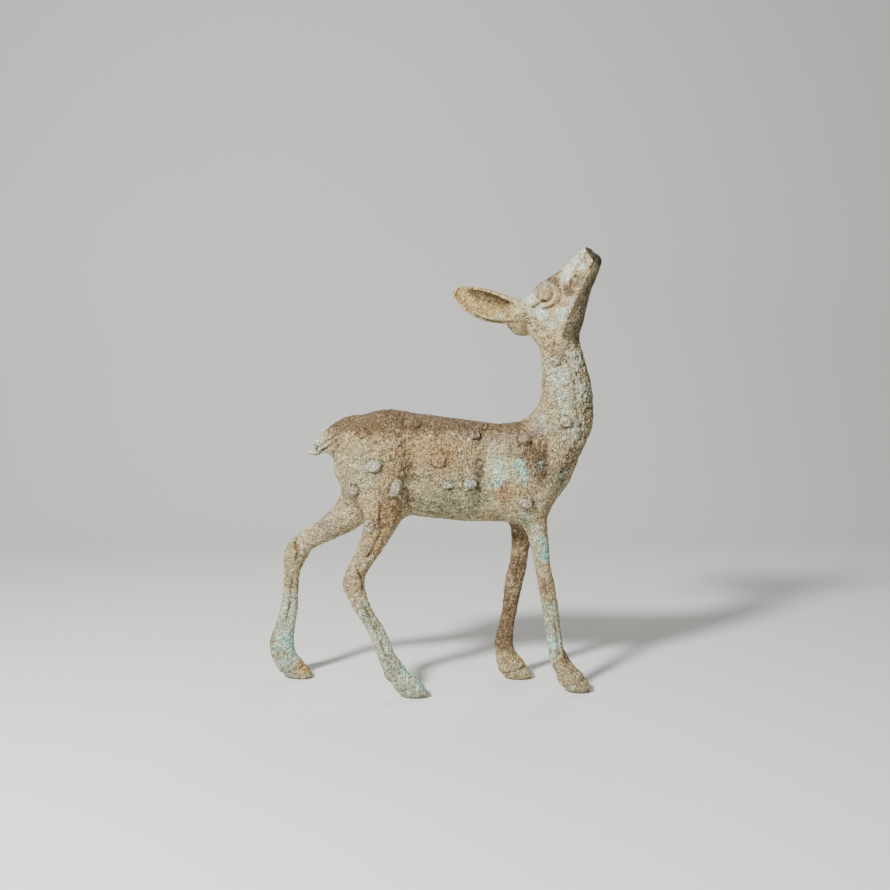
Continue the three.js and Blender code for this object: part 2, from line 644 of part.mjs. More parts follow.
// Fewer triangles for the same closed surface: the edge whose removal moves the surface least goes
// first. Each vertex carries the sum of the squared distances to the planes that met in it.
function thin({ positions, triangles }, budget, weightAt) {
  const points = [];
  for (let i = 0; i < positions.length; i += 3) {
    points.push(new THREE.Vector3(positions[i], positions[i + 1], positions[i + 2]));
  }
  const faces = [];
  for (let i = 0; i < triangles.length; i += 3) faces.push([...triangles.slice(i, i + 3)]);
  const facesOf = points.map(() => new Set());
  faces.forEach((face, f) => face.forEach((v) => facesOf[v].add(f)));
  const version = points.map(() => 0);
  const quadrics = points.map(() => new Float64Array(10));
  const edgeA = new THREE.Vector3();
  const edgeB = new THREE.Vector3();
  const normalOf = (a, b, c, target) => target.crossVectors(edgeA.subVectors(b, a), edgeB.subVectors(c, a));
  const normal = new THREE.Vector3();
  for (const [a, b, c] of faces) {
    normalOf(points[a], points[b], points[c], normal);
    const area = normal.length() / 2 * weightAt(points[a]);
    if (area < 1e-12) continue;
    normal.normalize();
    const { x, y, z } = normal;
    const d = -normal.dot(points[a]);
    const terms = [x * x, x * y, x * z, x * d, y * y, y * z, y * d, z * z, z * d, d * d];
    for (const v of [a, b, c]) terms.forEach((term, i) => { quadrics[v][i] += area * term; });
  }
  const costAt = (q, { x, y, z }) => q[0] * x * x + 2 * q[1] * x * y + 2 * q[2] * x * z + 2 * q[3] * x
    + q[4] * y * y + 2 * q[5] * y * z + 2 * q[6] * y + q[7] * z * z + 2 * q[8] * z + q[9];
  const matrix = new THREE.Matrix3();
  const proposal = (a, b) => {
    const q = quadrics[a].map((term, i) => term + quadrics[b][i]);
    const middle = points[a].clone().add(points[b]).multiplyScalar(0.5);
    const length = points[a].distanceTo(points[b]);
    let target = middle;
    matrix.set(q[0], q[1], q[2], q[1], q[4], q[5], q[2], q[5], q[7]);
    const strength = (q[0] + q[4] + q[7]) / 3;
    if (matrix.determinant() > 1e-4 * strength ** 3) {
      const best = new THREE.Vector3(-q[3], -q[6], -q[8]).applyMatrix3(matrix.invert());
      if (best.distanceTo(middle) < length) target = best;
    }
    return { a, b, q, target, cost: costAt(q, target) + 1e-4 * length ** 3,
      versions: [version[a], version[b]] };
  };
  const heap = new CheapestFirst();
  for (const [a, b, c] of faces) {
    for (const [from, to] of [[a, b], [b, c], [c, a]]) if (from < to) heap.push(proposal(from, to));
  }
  const neighbours = (v) => {
    const around = new Set();
    for (const f of facesOf[v]) for (const w of faces[f]) if (w !== v) around.add(w);
    return around;
  };
  const before = new THREE.Vector3();
  const after = new THREE.Vector3();
  const corners = [null, null, null];
  const keepsItsSide = (moved, partner, target) => {
    for (const f of facesOf[moved]) {
      const face = faces[f];
      if (face.includes(partner)) continue;
      normalOf(points[face[0]], points[face[1]], points[face[2]], before);
      face.forEach((v, i) => { corners[i] = v === moved ? target : points[v]; });
      normalOf(corners[0], corners[1], corners[2], after);
      const longest = Math.max(corners[0].distanceToSquared(corners[1]),
        corners[1].distanceToSquared(corners[2]), corners[2].distanceToSquared(corners[0]));
      if (after.length() < 0.08 * longest) return false;
      if (before.dot(after) < 0.25 * before.length() * after.length()) return false;
    }
    return true;
  };
  let left = faces.length;
  while (left > budget && heap.entries.length > 0) {
    const { a, b, q, target, versions } = heap.pop();
    if (version[a] !== versions[0] || version[b] !== versions[1]) continue;
    const around = neighbours(a);
    let shared = 0;
    for (const v of neighbours(b)) if (around.has(v)) shared += 1;
    if (shared !== 2) continue;
    if (!keepsItsSide(a, b, target) || !keepsItsSide(b, a, target)) continue;
    for (const f of [...facesOf[b]]) {
      const face = faces[f];
      if (face.includes(a)) {
        for (const v of face) facesOf[v].delete(f);
        faces[f] = null;
        left -= 1;
      } else {
        face[face.indexOf(b)] = a;
        facesOf[a].add(f);
      }
    }
    facesOf[b].clear();
    version[b] = -1;
    version[a] += 1;
    points[a].copy(target);
    quadrics[a] = q;
    for (const v of neighbours(a)) heap.push(proposal(Math.min(a, v), Math.max(a, v)));
  }
  const renumbered = new Map();
  const kept = { positions: [], triangles: [] };
  for (const face of faces) {
    if (face === null) continue;
    for (const v of face) {
      if (!renumbered.has(v)) {
        renumbered.set(v, renumbered.size);
        kept.positions.push(points[v].x, points[v].y, points[v].z);
      }
      kept.triangles.push(renumbered.get(v));
    }
  }
  return kept;
}

// Each vertex eased towards the middle of its neighbours, mostly along the surface, to even out the
// triangles. The kept height is the share of the move off the surface that is left out.
function even({ positions, triangles }, rounds) {
  const KEPT_HEIGHT = 0.5;
  let places = Float64Array.from(positions);
  const count = places.length / 3;
  for (let round = 0; round < rounds; round += 1) {
    const sums = new Float64Array(places.length);
    const normals = new Float64Array(places.length);
    const shares = new Float64Array(count);
    for (let i = 0; i < triangles.length; i += 3) {
      const corners = [triangles[i], triangles[i + 1], triangles[i + 2]];
      const [a, b, c] = corners.map((v) => v * 3);
      const u = [0, 1, 2].map((axis) => places[b + axis] - places[a + axis]);
      const w = [0, 1, 2].map((axis) => places[c + axis] - places[a + axis]);
      for (let axis = 0; axis < 3; axis += 1) {
        const [next, last] = [(axis + 1) % 3, (axis + 2) % 3];
        const normal = u[next] * w[last] - u[last] * w[next];
        const sum = places[a + axis] + places[b + axis] + places[c + axis];
        for (const v of corners) {
          normals[v * 3 + axis] += normal;
          sums[v * 3 + axis] += sum - places[v * 3 + axis];
        }
      }
      for (const v of corners) shares[v] += 2;
    }
    const moved = places.slice();
    for (let v = 0; v < count; v += 1) {
      const at = v * 3;
      const size = Math.hypot(normals[at], normals[at + 1], normals[at + 2]) || 1;
      let lift = 0;
      for (let axis = 0; axis < 3; axis += 1) {
        lift += (sums[at + axis] / shares[v] - places[at + axis]) * normals[at + axis] / size;
      }
      for (let axis = 0; axis < 3; axis += 1) {
        const shift = sums[at + axis] / shares[v] - places[at + axis];
        moved[at + axis] += 0.6 * (shift - KEPT_HEIGHT * lift * normals[at + axis] / size);
      }
    }
    places = moved;
  }
  return { positions: places, triangles };
}

// Each vertex eased towards the middle of its neighbours and set back onto the field's surface
function settle({ positions, triangles }, field, rounds) {
  const points = [];
  for (let i = 0; i < positions.length; i += 3) {
    points.push(new THREE.Vector3(positions[i], positions[i + 1], positions[i + 2]));
  }
  const facesOf = points.map(() => []);
  const neighbours = points.map(() => new Set());
  for (let i = 0; i < triangles.length; i += 3) {
    const face = triangles.slice(i, i + 3);
    for (const v of face) {
      facesOf[v].push(face);
      for (const w of face) if (w !== v) neighbours[v].add(w);
    }
  }
  const STEP = 0.05;
  const gradientAt = ({ x, y, z }) => new THREE.Vector3(
    field(x + STEP, y, z) - field(x - STEP, y, z),
    field(x, y + STEP, z) - field(x, y - STEP, z),
    field(x, y, z + STEP) - field(x, y, z - STEP),
  ).divideScalar(2 * STEP);
  const triangle = new THREE.Triangle();
  const normalOf = (face, moved, place) => {
    triangle.set(...face.map((v) => (v === moved ? place : points[v])));
    return triangle.getNormal(new THREE.Vector3());
  };
  for (let round = 0; round < rounds; round += 1) {
    points.forEach((point, v) => {
      const gradient = gradientAt(point);
      const steepness = gradient.lengthSq();
      if (steepness < 0.1) return;
      const middle = new THREE.Vector3();
      for (const w of neighbours[v]) middle.add(points[w]);
      const shift = middle.divideScalar(neighbours[v].size).sub(point).multiplyScalar(0.5);
      shift.addScaledVector(gradient, -shift.dot(gradient) / steepness);
      const place = point.clone().add(shift);
      place.addScaledVector(gradient, -field(place.x, place.y, place.z) / steepness);
      if (place.distanceTo(point) > 0.6) return;
      const turned = facesOf[v].some((face) =>
        normalOf(face, v, point).dot(normalOf(face, v, place)) < 0.8);
      if (!turned) point.copy(place);
    });
  }
  return { positions: points.flatMap(({ x, y, z }) => [x, y, z]), triangles };
}

const wasm = await Module();
wasm.setup();

function solidOf({ positions, triangles }) {
  return new wasm.Manifold(new wasm.Mesh({
    numProp: 3,
    vertProperties: new Float32Array(positions),
    triVerts: new Uint32Array(triangles),
  }));
}

// A block below the ground, to cut the soles flat
function ground(box) {
  const size = box.getSize(new THREE.Vector3());
  const depth = 20;
  const block = new THREE.BoxGeometry(size.x * 2, size.y * 2, depth);
  block.translate((box.min.x + box.max.x) / 2, 0, -depth / 2);
  const corners = block.getAttribute('position');
  const merged = { positions: [], triangles: [] };
  const known = new Map();
  for (let i = 0; i < block.index.count; i += 1) {
    const v = block.index.getX(i);
    const place = [corners.getX(v), corners.getY(v), corners.getZ(v)];
    const key = place.join(' ');
    if (!known.has(key)) {
      known.set(key, known.size);
      merged.positions.push(...place);
    }
    merged.triangles.push(known.get(key));
  }
  return solidOf(merged);
}

// The figure's mesh in millimetres: its soles on the ground, the middle of its box at the origin
function deerGeometry() {
  const field = figureField();
  const box = field.box.clone().expandByScalar(2);
  const fine = even(polygonise(field, box, 100 / CELLS_PER_HEIGHT), 3);
  const weightAt = ({ z }) => 1 + (HEAD_SHARE - 1) * smoothStep(HEAD_ORIGIN[2] - 10, HEAD_ORIGIN[2] - 5, z);
  const surface = settle(thin(fine, TRIANGLE_BUDGET, weightAt), field, 3);
  const mesh = solidOf(surface).subtract(ground(box)).getMesh();
  const geometry = new THREE.BufferGeometry();
  geometry.setAttribute('position', new THREE.BufferAttribute(new Float32Array(mesh.vertProperties), 3));
  geometry.setIndex(new THREE.BufferAttribute(new Uint32Array(mesh.triVerts), 1));
  geometry.computeBoundingBox();
  const { min, max } = geometry.boundingBox;
  const scale = HEIGHT / (max.z - min.z);
  geometry.translate(-(min.x + max.x) / 2, -(min.y + max.y) / 2, -min.z);
  geometry.scale(scale, scale, scale);
  return geometry;
}

const patinatedAluminium = new THREE.MeshStandardMaterial({
  color: 0x9c8467,
  roughness: 0.75,
  metalness: 0.4,
});

const deer = new THREE.Mesh(deerGeometry(), patinatedAluminium);
deer.name = 'deer';
const statue = new THREE.Group();
statue.add(deer);

export default statue;
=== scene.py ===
# %% [markdown]
# # A weathered aluminium fawn
# The real thing is a garden ornament: one hollow sand casting of a young deer that walks with its
# muzzle raised. It has no separate parts, so this whole lesson works on a single skin. It starts from
# the measured solid, makes it as fine and as soft as clay, presses the carving into it, and then lays
# a patina over it that knows where hollows, edges and old paint marks are.

# %% Load the solid and keep its box
import math
import bmesh
import bpy
import numpy as np
from mathutils import Matrix, Vector
from mathutils.bvhtree import BVHTree


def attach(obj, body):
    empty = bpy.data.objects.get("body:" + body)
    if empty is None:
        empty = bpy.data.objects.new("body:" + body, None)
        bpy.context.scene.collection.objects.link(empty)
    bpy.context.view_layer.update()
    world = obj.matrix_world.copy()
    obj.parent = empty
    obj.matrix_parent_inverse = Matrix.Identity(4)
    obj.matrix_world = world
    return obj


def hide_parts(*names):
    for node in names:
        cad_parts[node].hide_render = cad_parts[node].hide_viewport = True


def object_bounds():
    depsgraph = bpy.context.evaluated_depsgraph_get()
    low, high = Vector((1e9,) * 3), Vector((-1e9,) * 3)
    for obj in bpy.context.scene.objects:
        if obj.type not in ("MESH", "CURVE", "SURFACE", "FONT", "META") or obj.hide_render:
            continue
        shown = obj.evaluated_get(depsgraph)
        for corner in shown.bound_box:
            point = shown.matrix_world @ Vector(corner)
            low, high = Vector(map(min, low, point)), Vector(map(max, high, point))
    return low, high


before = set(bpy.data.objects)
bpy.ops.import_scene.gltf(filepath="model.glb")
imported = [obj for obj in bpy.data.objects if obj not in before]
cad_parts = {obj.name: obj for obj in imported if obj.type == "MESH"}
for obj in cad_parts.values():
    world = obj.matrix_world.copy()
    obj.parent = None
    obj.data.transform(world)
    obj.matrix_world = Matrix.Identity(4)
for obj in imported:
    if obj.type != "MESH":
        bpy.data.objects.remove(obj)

solid_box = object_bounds()
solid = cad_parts["deer"]
print("solid's box", [[round(number, 4) for number in corner] for corner in solid_box])

# %% [markdown]
# ## One set of measures
# A sculptor measures a figure in parts of its height. The places of spots, folds and stains below are
# hundredths of the height, along the fawn, across it and up, with the middle of the barrel at zero
# across. One helper turns them into metres. The head has a frame of its own, because it is turned and
# raised: x runs to the muzzle, y to the fawn's left and z out of the forehead.

# %% Measures of the figure and of its head
HUNDREDTHS_TO_MUZZLE = 100.464
# the box comes in single precision, so its height is rounded to a micrometre
HUNDREDTH = round(solid_box[1][2] - solid_box[0][2], 6) / HUNDREDTHS_TO_MUZZLE
# where the frame has its origin, in hundredths
MIDDLE = Vector((-3.171, 5.621, 0.0))
HEAD_TURN = math.radians(28)
HEAD_RAISE = math.radians(52.6)
HEAD_PLACE = Vector((25.2, 0.0, 86.1))

muzzle_way = Vector((
    math.cos(HEAD_RAISE) * math.cos(HEAD_TURN),
    -math.cos(HEAD_RAISE) * math.sin(HEAD_TURN),
    math.sin(HEAD_RAISE),
))
left_way = Vector((math.sin(HEAD_TURN), math.cos(HEAD_TURN), 0.0))
forehead_way = muzzle_way.cross(left_way)


def figure_place(x, y, z):
    """Metres, from hundredths of the height."""
    return (Vector((x, y, z)) - MIDDLE) * HUNDREDTH


def head_place(x, y, z):
    """Metres, from hundredths of the height in the head's own frame."""
    place = HEAD_PLACE + muzzle_way * x + left_way * y + forehead_way * z
    return (place - MIDDLE) * HUNDREDTH


def in_hundredths(points):
    """Rows of places in metres, as rows in hundredths of the height."""
    return points / HUNDREDTH + np.array(MIDDLE)


def in_head(points):
    """Rows of places in metres, as rows in hundredths in the head's frame."""
    axes = np.array([muzzle_way, left_way, forehead_way])
    return (in_hundredths(points) - np.array(HEAD_PLACE)) @ axes.T


print("muzzle points along", [round(number, 3) for number in muzzle_way])


# %% [markdown]
# ## Fresh clay
# The solid is made of large flat facets, and the real casting was modelled by hand, so its surface is
# soft everywhere. Subdivision Surface melts the facets into one another. Remesh then replaces the
# uneven triangles by an even skin of small squares, which takes carving equally well everywhere. The
# head carries the finest work, so its squares are split once more.

# %% Melt the facets and remesh
VOXEL = 0.0022


def applied(thing):
    """The object's mesh with its modifiers worked in and taken off."""
    bpy.context.view_layer.update()
    evaluated = thing.evaluated_get(bpy.context.evaluated_depsgraph_get())
    mesh = bpy.data.meshes.new_from_object(evaluated)
    thing.modifiers.clear()
    thing.data = mesh
    return thing


clay = bpy.data.objects.new("fawn_casting", solid.data.copy())
bpy.context.scene.collection.objects.link(clay)
clay.data.materials.clear()
merger = bmesh.new()
merger.from_mesh(clay.data)
bmesh.ops.remove_doubles(merger, verts=merger.verts, dist=1e-6)
merger.to_mesh(clay.data)
merger.free()
flat_shading = clay.data.attributes.get("custom_normal")
if flat_shading is not None:
    clay.data.attributes.remove(flat_shading)

melt = clay.modifiers.new("melt", "SUBSURF")
melt.levels = 2
melt.render_levels = 2
even_skin = clay.modifiers.new("even skin", "REMESH")
even_skin.mode = "VOXEL"
even_skin.voxel_size = VOXEL
applied(clay)
print("clay has", len(clay.data.vertices), "points")

# %% Split the squares of the head
finer = bmesh.new()
finer.from_mesh(clay.data)
centres = np.array([vertex.co for vertex in finer.verts])
above_throat = in_head(centres)[:, 0] > -13
high_enough = in_hundredths(centres)[:, 2] > 79
is_head = above_throat & high_enough
edges = [
    edge for edge in finer.edges
    if is_head[edge.verts[0].index] and is_head[edge.verts[1].index]
]
bmesh.ops.subdivide_edges(finer, edges=edges, cuts=1, use_grid_fill=True)
bmesh.ops.triangulate(finer, faces=[face for face in finer.faces if len(face.verts) > 4])
finer.to_mesh(clay.data)
finer.free()
clay.data.validate()
print("after splitting the head,", len(clay.data.vertices), "points")

# %% [markdown]
# ## Working on all the points at once
# Each carving step moves thousands of points by a rule. Reading the mesh into NumPy arrays makes such
# a step one line of arithmetic. These helpers read places and outward directions, average each point
# with its neighbours, and write the places back.

# %% Read, ease and write the clay's points
edge_ends = np.empty(len(clay.data.edges) * 2, np.int32)
clay.data.edges.foreach_get("vertices", edge_ends)
edge_ends = edge_ends.reshape(-1, 2)
neighbour_count = np.bincount(edge_ends.ravel(), minlength=len(clay.data.vertices))


def places():
    rows = np.empty(len(clay.data.vertices) * 3, np.float32)
    clay.data.vertices.foreach_get("co", rows)
    return rows.reshape(-1, 3).astype(float)


def put_places(rows):
    clay.data.vertices.foreach_set("co", rows.astype(np.float32).ravel())
    clay.data.update()


def outward():
    rows = np.empty(len(clay.data.vertices) * 3, np.float32)
    clay.data.vertex_normals.foreach_get("vector", rows)
    return rows.reshape(-1, 3).astype(float)


def neighbour_mean(values):
    """Each point's average over its neighbours, for rows of numbers or single ones."""
    rows = values.reshape(len(values), -1)
    total = np.zeros_like(rows)
    for column in range(rows.shape[1]):
        total[:, column] += np.bincount(edge_ends[:, 0], rows[edge_ends[:, 1], column], len(rows))
        total[:, column] += np.bincount(edge_ends[:, 1], rows[edge_ends[:, 0], column], len(rows))
    return (total / neighbour_count[:, None]).reshape(values.shape)


def eased(rows, rounds, share=None):
    """Smoothed places. A swelling round follows each shrinking one, so limbs keep their girth."""
    share = 1.0 if share is None else share[:, None]
    for _ in range(rounds):
        rows = rows + 0.62 * share * (neighbour_mean(rows) - rows)
        rows = rows - 0.64 * share * (neighbour_mean(rows) - rows)
    return rows


def smooth_step(low, high, values):
    t = np.clip((values - low) / (high - low), 0, 1)
    return t * t * (3 - 2 * t)


skin = places()
head_share = smooth_step(-14, -9, in_head(skin)[:, 0])
head_share *= smooth_step(77, 80, in_hundredths(skin)[:, 2])
off_the_ground = smooth_step(0.0004, 0.003, skin[:, 2])
put_places(eased(skin, 14, off_the_ground * (1 - 0.6 * head_share)))
print("clay eased, mean edge", round(float(np.linalg.norm(
    skin[edge_ends[:, 0]] - skin[edge_ends[:, 1]], axis=1).mean()) * 1000, 2), "mm")

# %% [markdown]
# ## A carving tool for lines
# Folds, eyelids, the mouth and locks of hair all follow lines, so one tool serves them all: a Geometry
# Nodes tree that measures how far each point of the clay is from a set of lines and moves it along its
# normal. A positive depth cuts a groove, a negative one raises a ridge. The same result could be had
# with a sculpt brush, but a tree with named inputs can be run again after any change of the figure.
# The tree also remembers its grooves in an attribute called cut, for dirt to settle there later.

# %% Build the line tool
def line_tool():
    tree = bpy.data.node_groups.new("carve_along_lines", "GeometryNodeTree")
    sockets = {}
    for name, kind in (
        ("Clay", "NodeSocketGeometry"),
        ("Lines", "NodeSocketObject"),
        ("Width", "NodeSocketFloat"),
        ("Depth", "NodeSocketFloat"),
        ("Finish", "NodeSocketMaterial"),
    ):
        sockets[name] = tree.interface.new_socket(name, in_out="INPUT", socket_type=kind)
    tree.interface.new_socket("Clay", in_out="OUTPUT", socket_type="NodeSocketGeometry")
    nodes, links = tree.nodes, tree.links
    entry = nodes.new("NodeGroupInput")
    lines = nodes.new("GeometryNodeObjectInfo")
    near = nodes.new("GeometryNodeProximity")
    near.target_element = "EDGES"
    shares = nodes.new("ShaderNodeMath")
    shares.operation = "DIVIDE"
    square = nodes.new("ShaderNodeMath")
    square.operation = "MULTIPLY"
    minus = nodes.new("ShaderNodeMath")
    minus.operation = "MULTIPLY"
    minus.inputs[1].default_value = -1
    falloff = nodes.new("ShaderNodeMath")
    falloff.operation = "EXPONENT"
    cut = nodes.new("ShaderNodeMath")
    cut.operation = "MULTIPLY"
    inward = nodes.new("ShaderNodeMath")
    inward.operation = "MULTIPLY"
    inward.inputs[1].default_value = -1
    normal = nodes.new("GeometryNodeInputNormal")
    offset = nodes.new("ShaderNodeVectorMath")
    offset.operation = "SCALE"
    move = nodes.new("GeometryNodeSetPosition")
    strength = nodes.new("ShaderNodeMapRange")
    strength.inputs["From Max"].default_value = 0.002
    dirt = nodes.new("ShaderNodeMath")
    dirt.operation = "MULTIPLY"
    earlier = nodes.new("GeometryNodeInputNamedAttribute")
    earlier.data_type = "FLOAT"
    earlier.inputs["Name"].default_value = "cut"
    deepest = nodes.new("ShaderNodeMath")
    deepest.operation = "MAXIMUM"
    remember = nodes.new("GeometryNodeStoreNamedAttribute")
    remember.data_type = "FLOAT"
    remember.inputs["Name"].default_value = "cut"
    real = nodes.new("GeometryNodeRealizeInstances")
    paint = nodes.new("GeometryNodeSetMaterial")
    leave = nodes.new("NodeGroupOutput")
    links.new(entry.outputs["Lines"], lines.inputs["Object"])
    links.new(lines.outputs["Geometry"], near.inputs["Geometry"])
    links.new(near.outputs["Distance"], shares.inputs[0])
    links.new(entry.outputs["Width"], shares.inputs[1])
    links.new(shares.outputs[0], square.inputs[0])
    links.new(shares.outputs[0], square.inputs[1])
    links.new(square.outputs[0], minus.inputs[0])
    links.new(minus.outputs[0], falloff.inputs[0])
    links.new(falloff.outputs[0], cut.inputs[0])
    links.new(entry.outputs["Depth"], cut.inputs[1])
    links.new(cut.outputs[0], inward.inputs[0])
    links.new(normal.outputs[0], offset.inputs[0])
    links.new(inward.outputs[0], offset.inputs["Scale"])
    links.new(entry.outputs["Clay"], move.inputs["Geometry"])
    links.new(offset.outputs[0], move.inputs["Offset"])
    links.new(entry.outputs["Depth"], strength.inputs["Value"])
    links.new(falloff.outputs[0], dirt.inputs[0])
    links.new(strength.outputs["Result"], dirt.inputs[1])
    links.new(earlier.outputs["Attribute"], deepest.inputs[0])
    links.new(dirt.outputs[0], deepest.inputs[1])
    links.new(move.outputs["Geometry"], remember.inputs["Geometry"])
    links.new(deepest.outputs[0], remember.inputs["Value"])
    links.new(remember.outputs["Geometry"], real.inputs["Geometry"])
    links.new(real.outputs["Geometry"], paint.inputs["Geometry"])
    links.new(entry.outputs["Finish"], paint.inputs["Material"])
    links.new(paint.outputs["Geometry"], leave.inputs[0])
    return tree, {name: socket.identifier for name, socket in sockets.items()}


LINE_TOOL, TOOL_INPUTS = line_tool()
finish = bpy.data.materials.new("patinated_aluminium")
print("line tool takes", list(TOOL_INPUTS))


# %% Helpers that lay lines on the clay and run the tool
def clay_tree():
    return BVHTree.FromObject(clay, bpy.context.evaluated_depsgraph_get())


def laid_on(tree, start, way):
    """The first place of the clay from a start, going one way."""
    place, _, _, _ = tree.ray_cast(start, way)
    return place


def flank_line(tree, side, row):
    """Places [x, z] on one flank, as places on the clay. Side is -1 on the fawn's right."""
    line = []
    for x, z in row:
        place = laid_on(tree, figure_place(x, side * 16, z), Vector((0, -side, 0)))
        if place is not None:
            line.append(place)
    return line


def leg_line(tree, side, row, from_inside=False):
    """Places [x, z] on one leg, from its outside or from its inside, as places on the clay."""
    line = []
    for x, z in row:
        start = figure_place(x, 0 if from_inside else side * 16, z)
        place = laid_on(tree, start, Vector((0, side if from_inside else -side, 0)))
        if place is not None and (place - start).length < 0.08:
            line.append(place)
    return line


def cheek_line(tree, side, row):
    """Places [x, z] on one side of the head, in its own frame, as places on the clay."""
    line = []
    for x, z in row:
        place = laid_on(tree, head_place(x, side * 9, z), left_way * -side)
        if place is not None:
            line.append(place)
    return line


def smooth_row(row, steps=6):
    """A row of places with steps between each two, on a smooth curve through them."""
    known = np.array(row, float)
    padded = np.vstack([2 * known[0] - known[1], known, 2 * known[-1] - known[-2]])
    made = []
    for before, here, after, beyond in zip(padded, padded[1:], padded[2:], padded[3:]):
        for step in range(steps):
            t = step / steps
            made.append((
                2 * here + (after - before) * t
                + (2 * before - 5 * here + 4 * after - beyond) * t ** 2
                + (3 * here - before - 3 * after + beyond) * t ** 3
            ) / 2)
    made.append(known[-1])
    return made


def wire(lines):
    """An object that holds lines of places as loose edges, for the line tool."""
    points = []
    pairs = []
    for line in lines:
        start = len(points)
        points.extend(line)
        pairs.extend((i, i + 1) for i in range(start, len(points) - 1))
    edges = bpy.data.meshes.new("lines")
    edges.from_pydata(points, pairs, [])
    guide = bpy.data.objects.new("lines", edges)
    bpy.context.scene.collection.objects.link(guide)
    return guide


def carve(guide, width, depth):
    """Cuts along a wire on the clay, or raises it where depth is negative. Both are in metres."""
    edge_count = len(guide.data.edges)
    tool = clay.modifiers.new("carve", "NODES")
    tool.node_group = LINE_TOOL
    tool[TOOL_INPUTS["Lines"]] = guide
    tool[TOOL_INPUTS["Width"]] = width
    tool[TOOL_INPUTS["Depth"]] = depth
    tool[TOOL_INPUTS["Finish"]] = finish
    applied(clay)
    bpy.data.objects.remove(guide)
    return edge_count


# %% [markdown]
# ## Muscle under the coat
# Behind the shoulder and before the haunch the coat dips in broad valleys, and the haunch, the ribs
# and the shoulder swell between them. They are too wide for the line tool, so they are soft hills and
# dales: each has a place on the flank, a length, a height and a lift.

# %% Raise the muscles
HILLS = [
    # x, z, half length, half height, lift in millimetres
    (-17.0, 51.0, 6.5, 8.0, 1.8),
    (-1.0, 51.5, 6.0, 7.0, 1.8),
    (14.5, 51.5, 4.6, 8.0, 2.0),
    (-8.4, 48.5, 1.8, 8.5, -3.6),
    (7.4, 51.0, 1.7, 7.0, -3.6),
    (21.4, 52.5, 1.5, 6.0, -2.2),
    (-15.0, 41.0, 2.6, 3.6, 1.2),
    (12.6, 44.5, 2.0, 2.4, -1.2),
    (-23.6, 56.5, 1.4, 4.0, -1.4),
    (20.0, 67.0, 3.0, 6.0, -0.6),
]


def raise_hills(hills):
    skin = places()
    spot = in_hundredths(skin)
    is_flank = smooth_step(1.5, 4.5, np.abs(spot[:, 1])) * smooth_step(36, 40, spot[:, 2])
    lift = np.zeros(len(skin))
    for x, z, half_length, half_height, millimetres in hills:
        away = ((spot[:, 0] - x) / half_length) ** 2 + ((spot[:, 2] - z) / half_height) ** 2
        lift += millimetres / 1000 * np.exp(-away)
    put_places(skin + outward() * (lift * is_flank)[:, None])
    return float(lift.max())


print("highest muscle stands", round(raise_hills(HILLS) * 1000, 2), "mm proud")

# %% [markdown]
# ## A noise without seams
# Spots, grain and curls need chance in them. This noise depends only on the place in space, so it has
# no seams: random heights on a lattice, blended smoothly between the lattice points. Its seed is
# fixed, so every run gives the same casting.

# %% Noise on a lattice
def lattice_noise(points, size, seed):
    """Smooth noise from -1 to 1 that varies over about one size, in metres."""
    grid = points / size
    corner = np.floor(grid).astype(np.int64)
    inside = grid - corner
    blend = inside * inside * (3 - 2 * inside)
    total = np.zeros(len(points))
    for dx in (0, 1):
        for dy in (0, 1):
            for dz in (0, 1):
                key = (corner[:, 0] + dx) * 73856093 ^ (corner[:, 1] + dy) * 19349663
                key ^= (corner[:, 2] + dz) * 83492791 ^ seed * 2654435761
                key = (key ^ (key >> 13)) * 1274126177 & 0x7FFFFFFF
                height = (key ^ (key >> 16)) % 65536 / 32768 - 1
                weight = np.abs(1 - dx - blend[:, 0]) * np.abs(1 - dy - blend[:, 1])
                total += height * weight * np.abs(1 - dz - blend[:, 2])
    return total


print("noise at three places", np.round(lattice_noise(np.eye(3), 0.3, 1), 2))

# %% [markdown]
# ## Spots, folds and the face
# The spots of the coat are pads of clay pressed onto the model: low, ragged, with a steep edge. Each
# is an oval that lifts the skin by a step. The folds, the lines around the eye, the mouth, the tendons
# and the locks of the tail are cut with the line tool, on both sides of the fawn.

# %% Press the spots on
SPOTS = [
    # x, z, half length, half height, turn in degrees, how far it is rubbed pale
    (-16.0, 52.0, 1.9, 1.25, 8, 1.0),
    (-11.2, 47.1, 1.1, 2.0, -30, 0.9),
    (-1.6, 53.1, 1.45, 1.45, 0, 0.1),
    (-7.6, 61.1, 1.8, 1.3, 0, 0.2),
    (-18.6, 59.3, 1.3, 0.9, 0, 0.1),
    (-13.1, 53.8, 0.9, 0.6, 0, 0.2),
    (-20.5, 46.2, 1.0, 1.1, 0, 0.7),
    (-17.0, 38.4, 0.9, 1.3, 0, 0.9),
    (6.2, 58.8, 1.3, 0.95, -15, 0.6),
    (5.3, 47.9, 1.45, 0.95, -5, 1.0),
    (8.6, 60.2, 0.8, 0.6, 0, 0.3),
    (17.3, 57.5, 1.4, 1.1, 0, 0.3),
    (17.7, 43.6, 1.5, 1.05, -10, 1.0),
    (0.4, 47.3, 1.3, 0.5, 5, 0.8),
    (26.8, 61.6, 1.35, 1.25, 0, 0.5),
    (24.7, 75.2, 1.0, 0.95, 0, 0.8),
]
SPOT_STEP = 0.0034


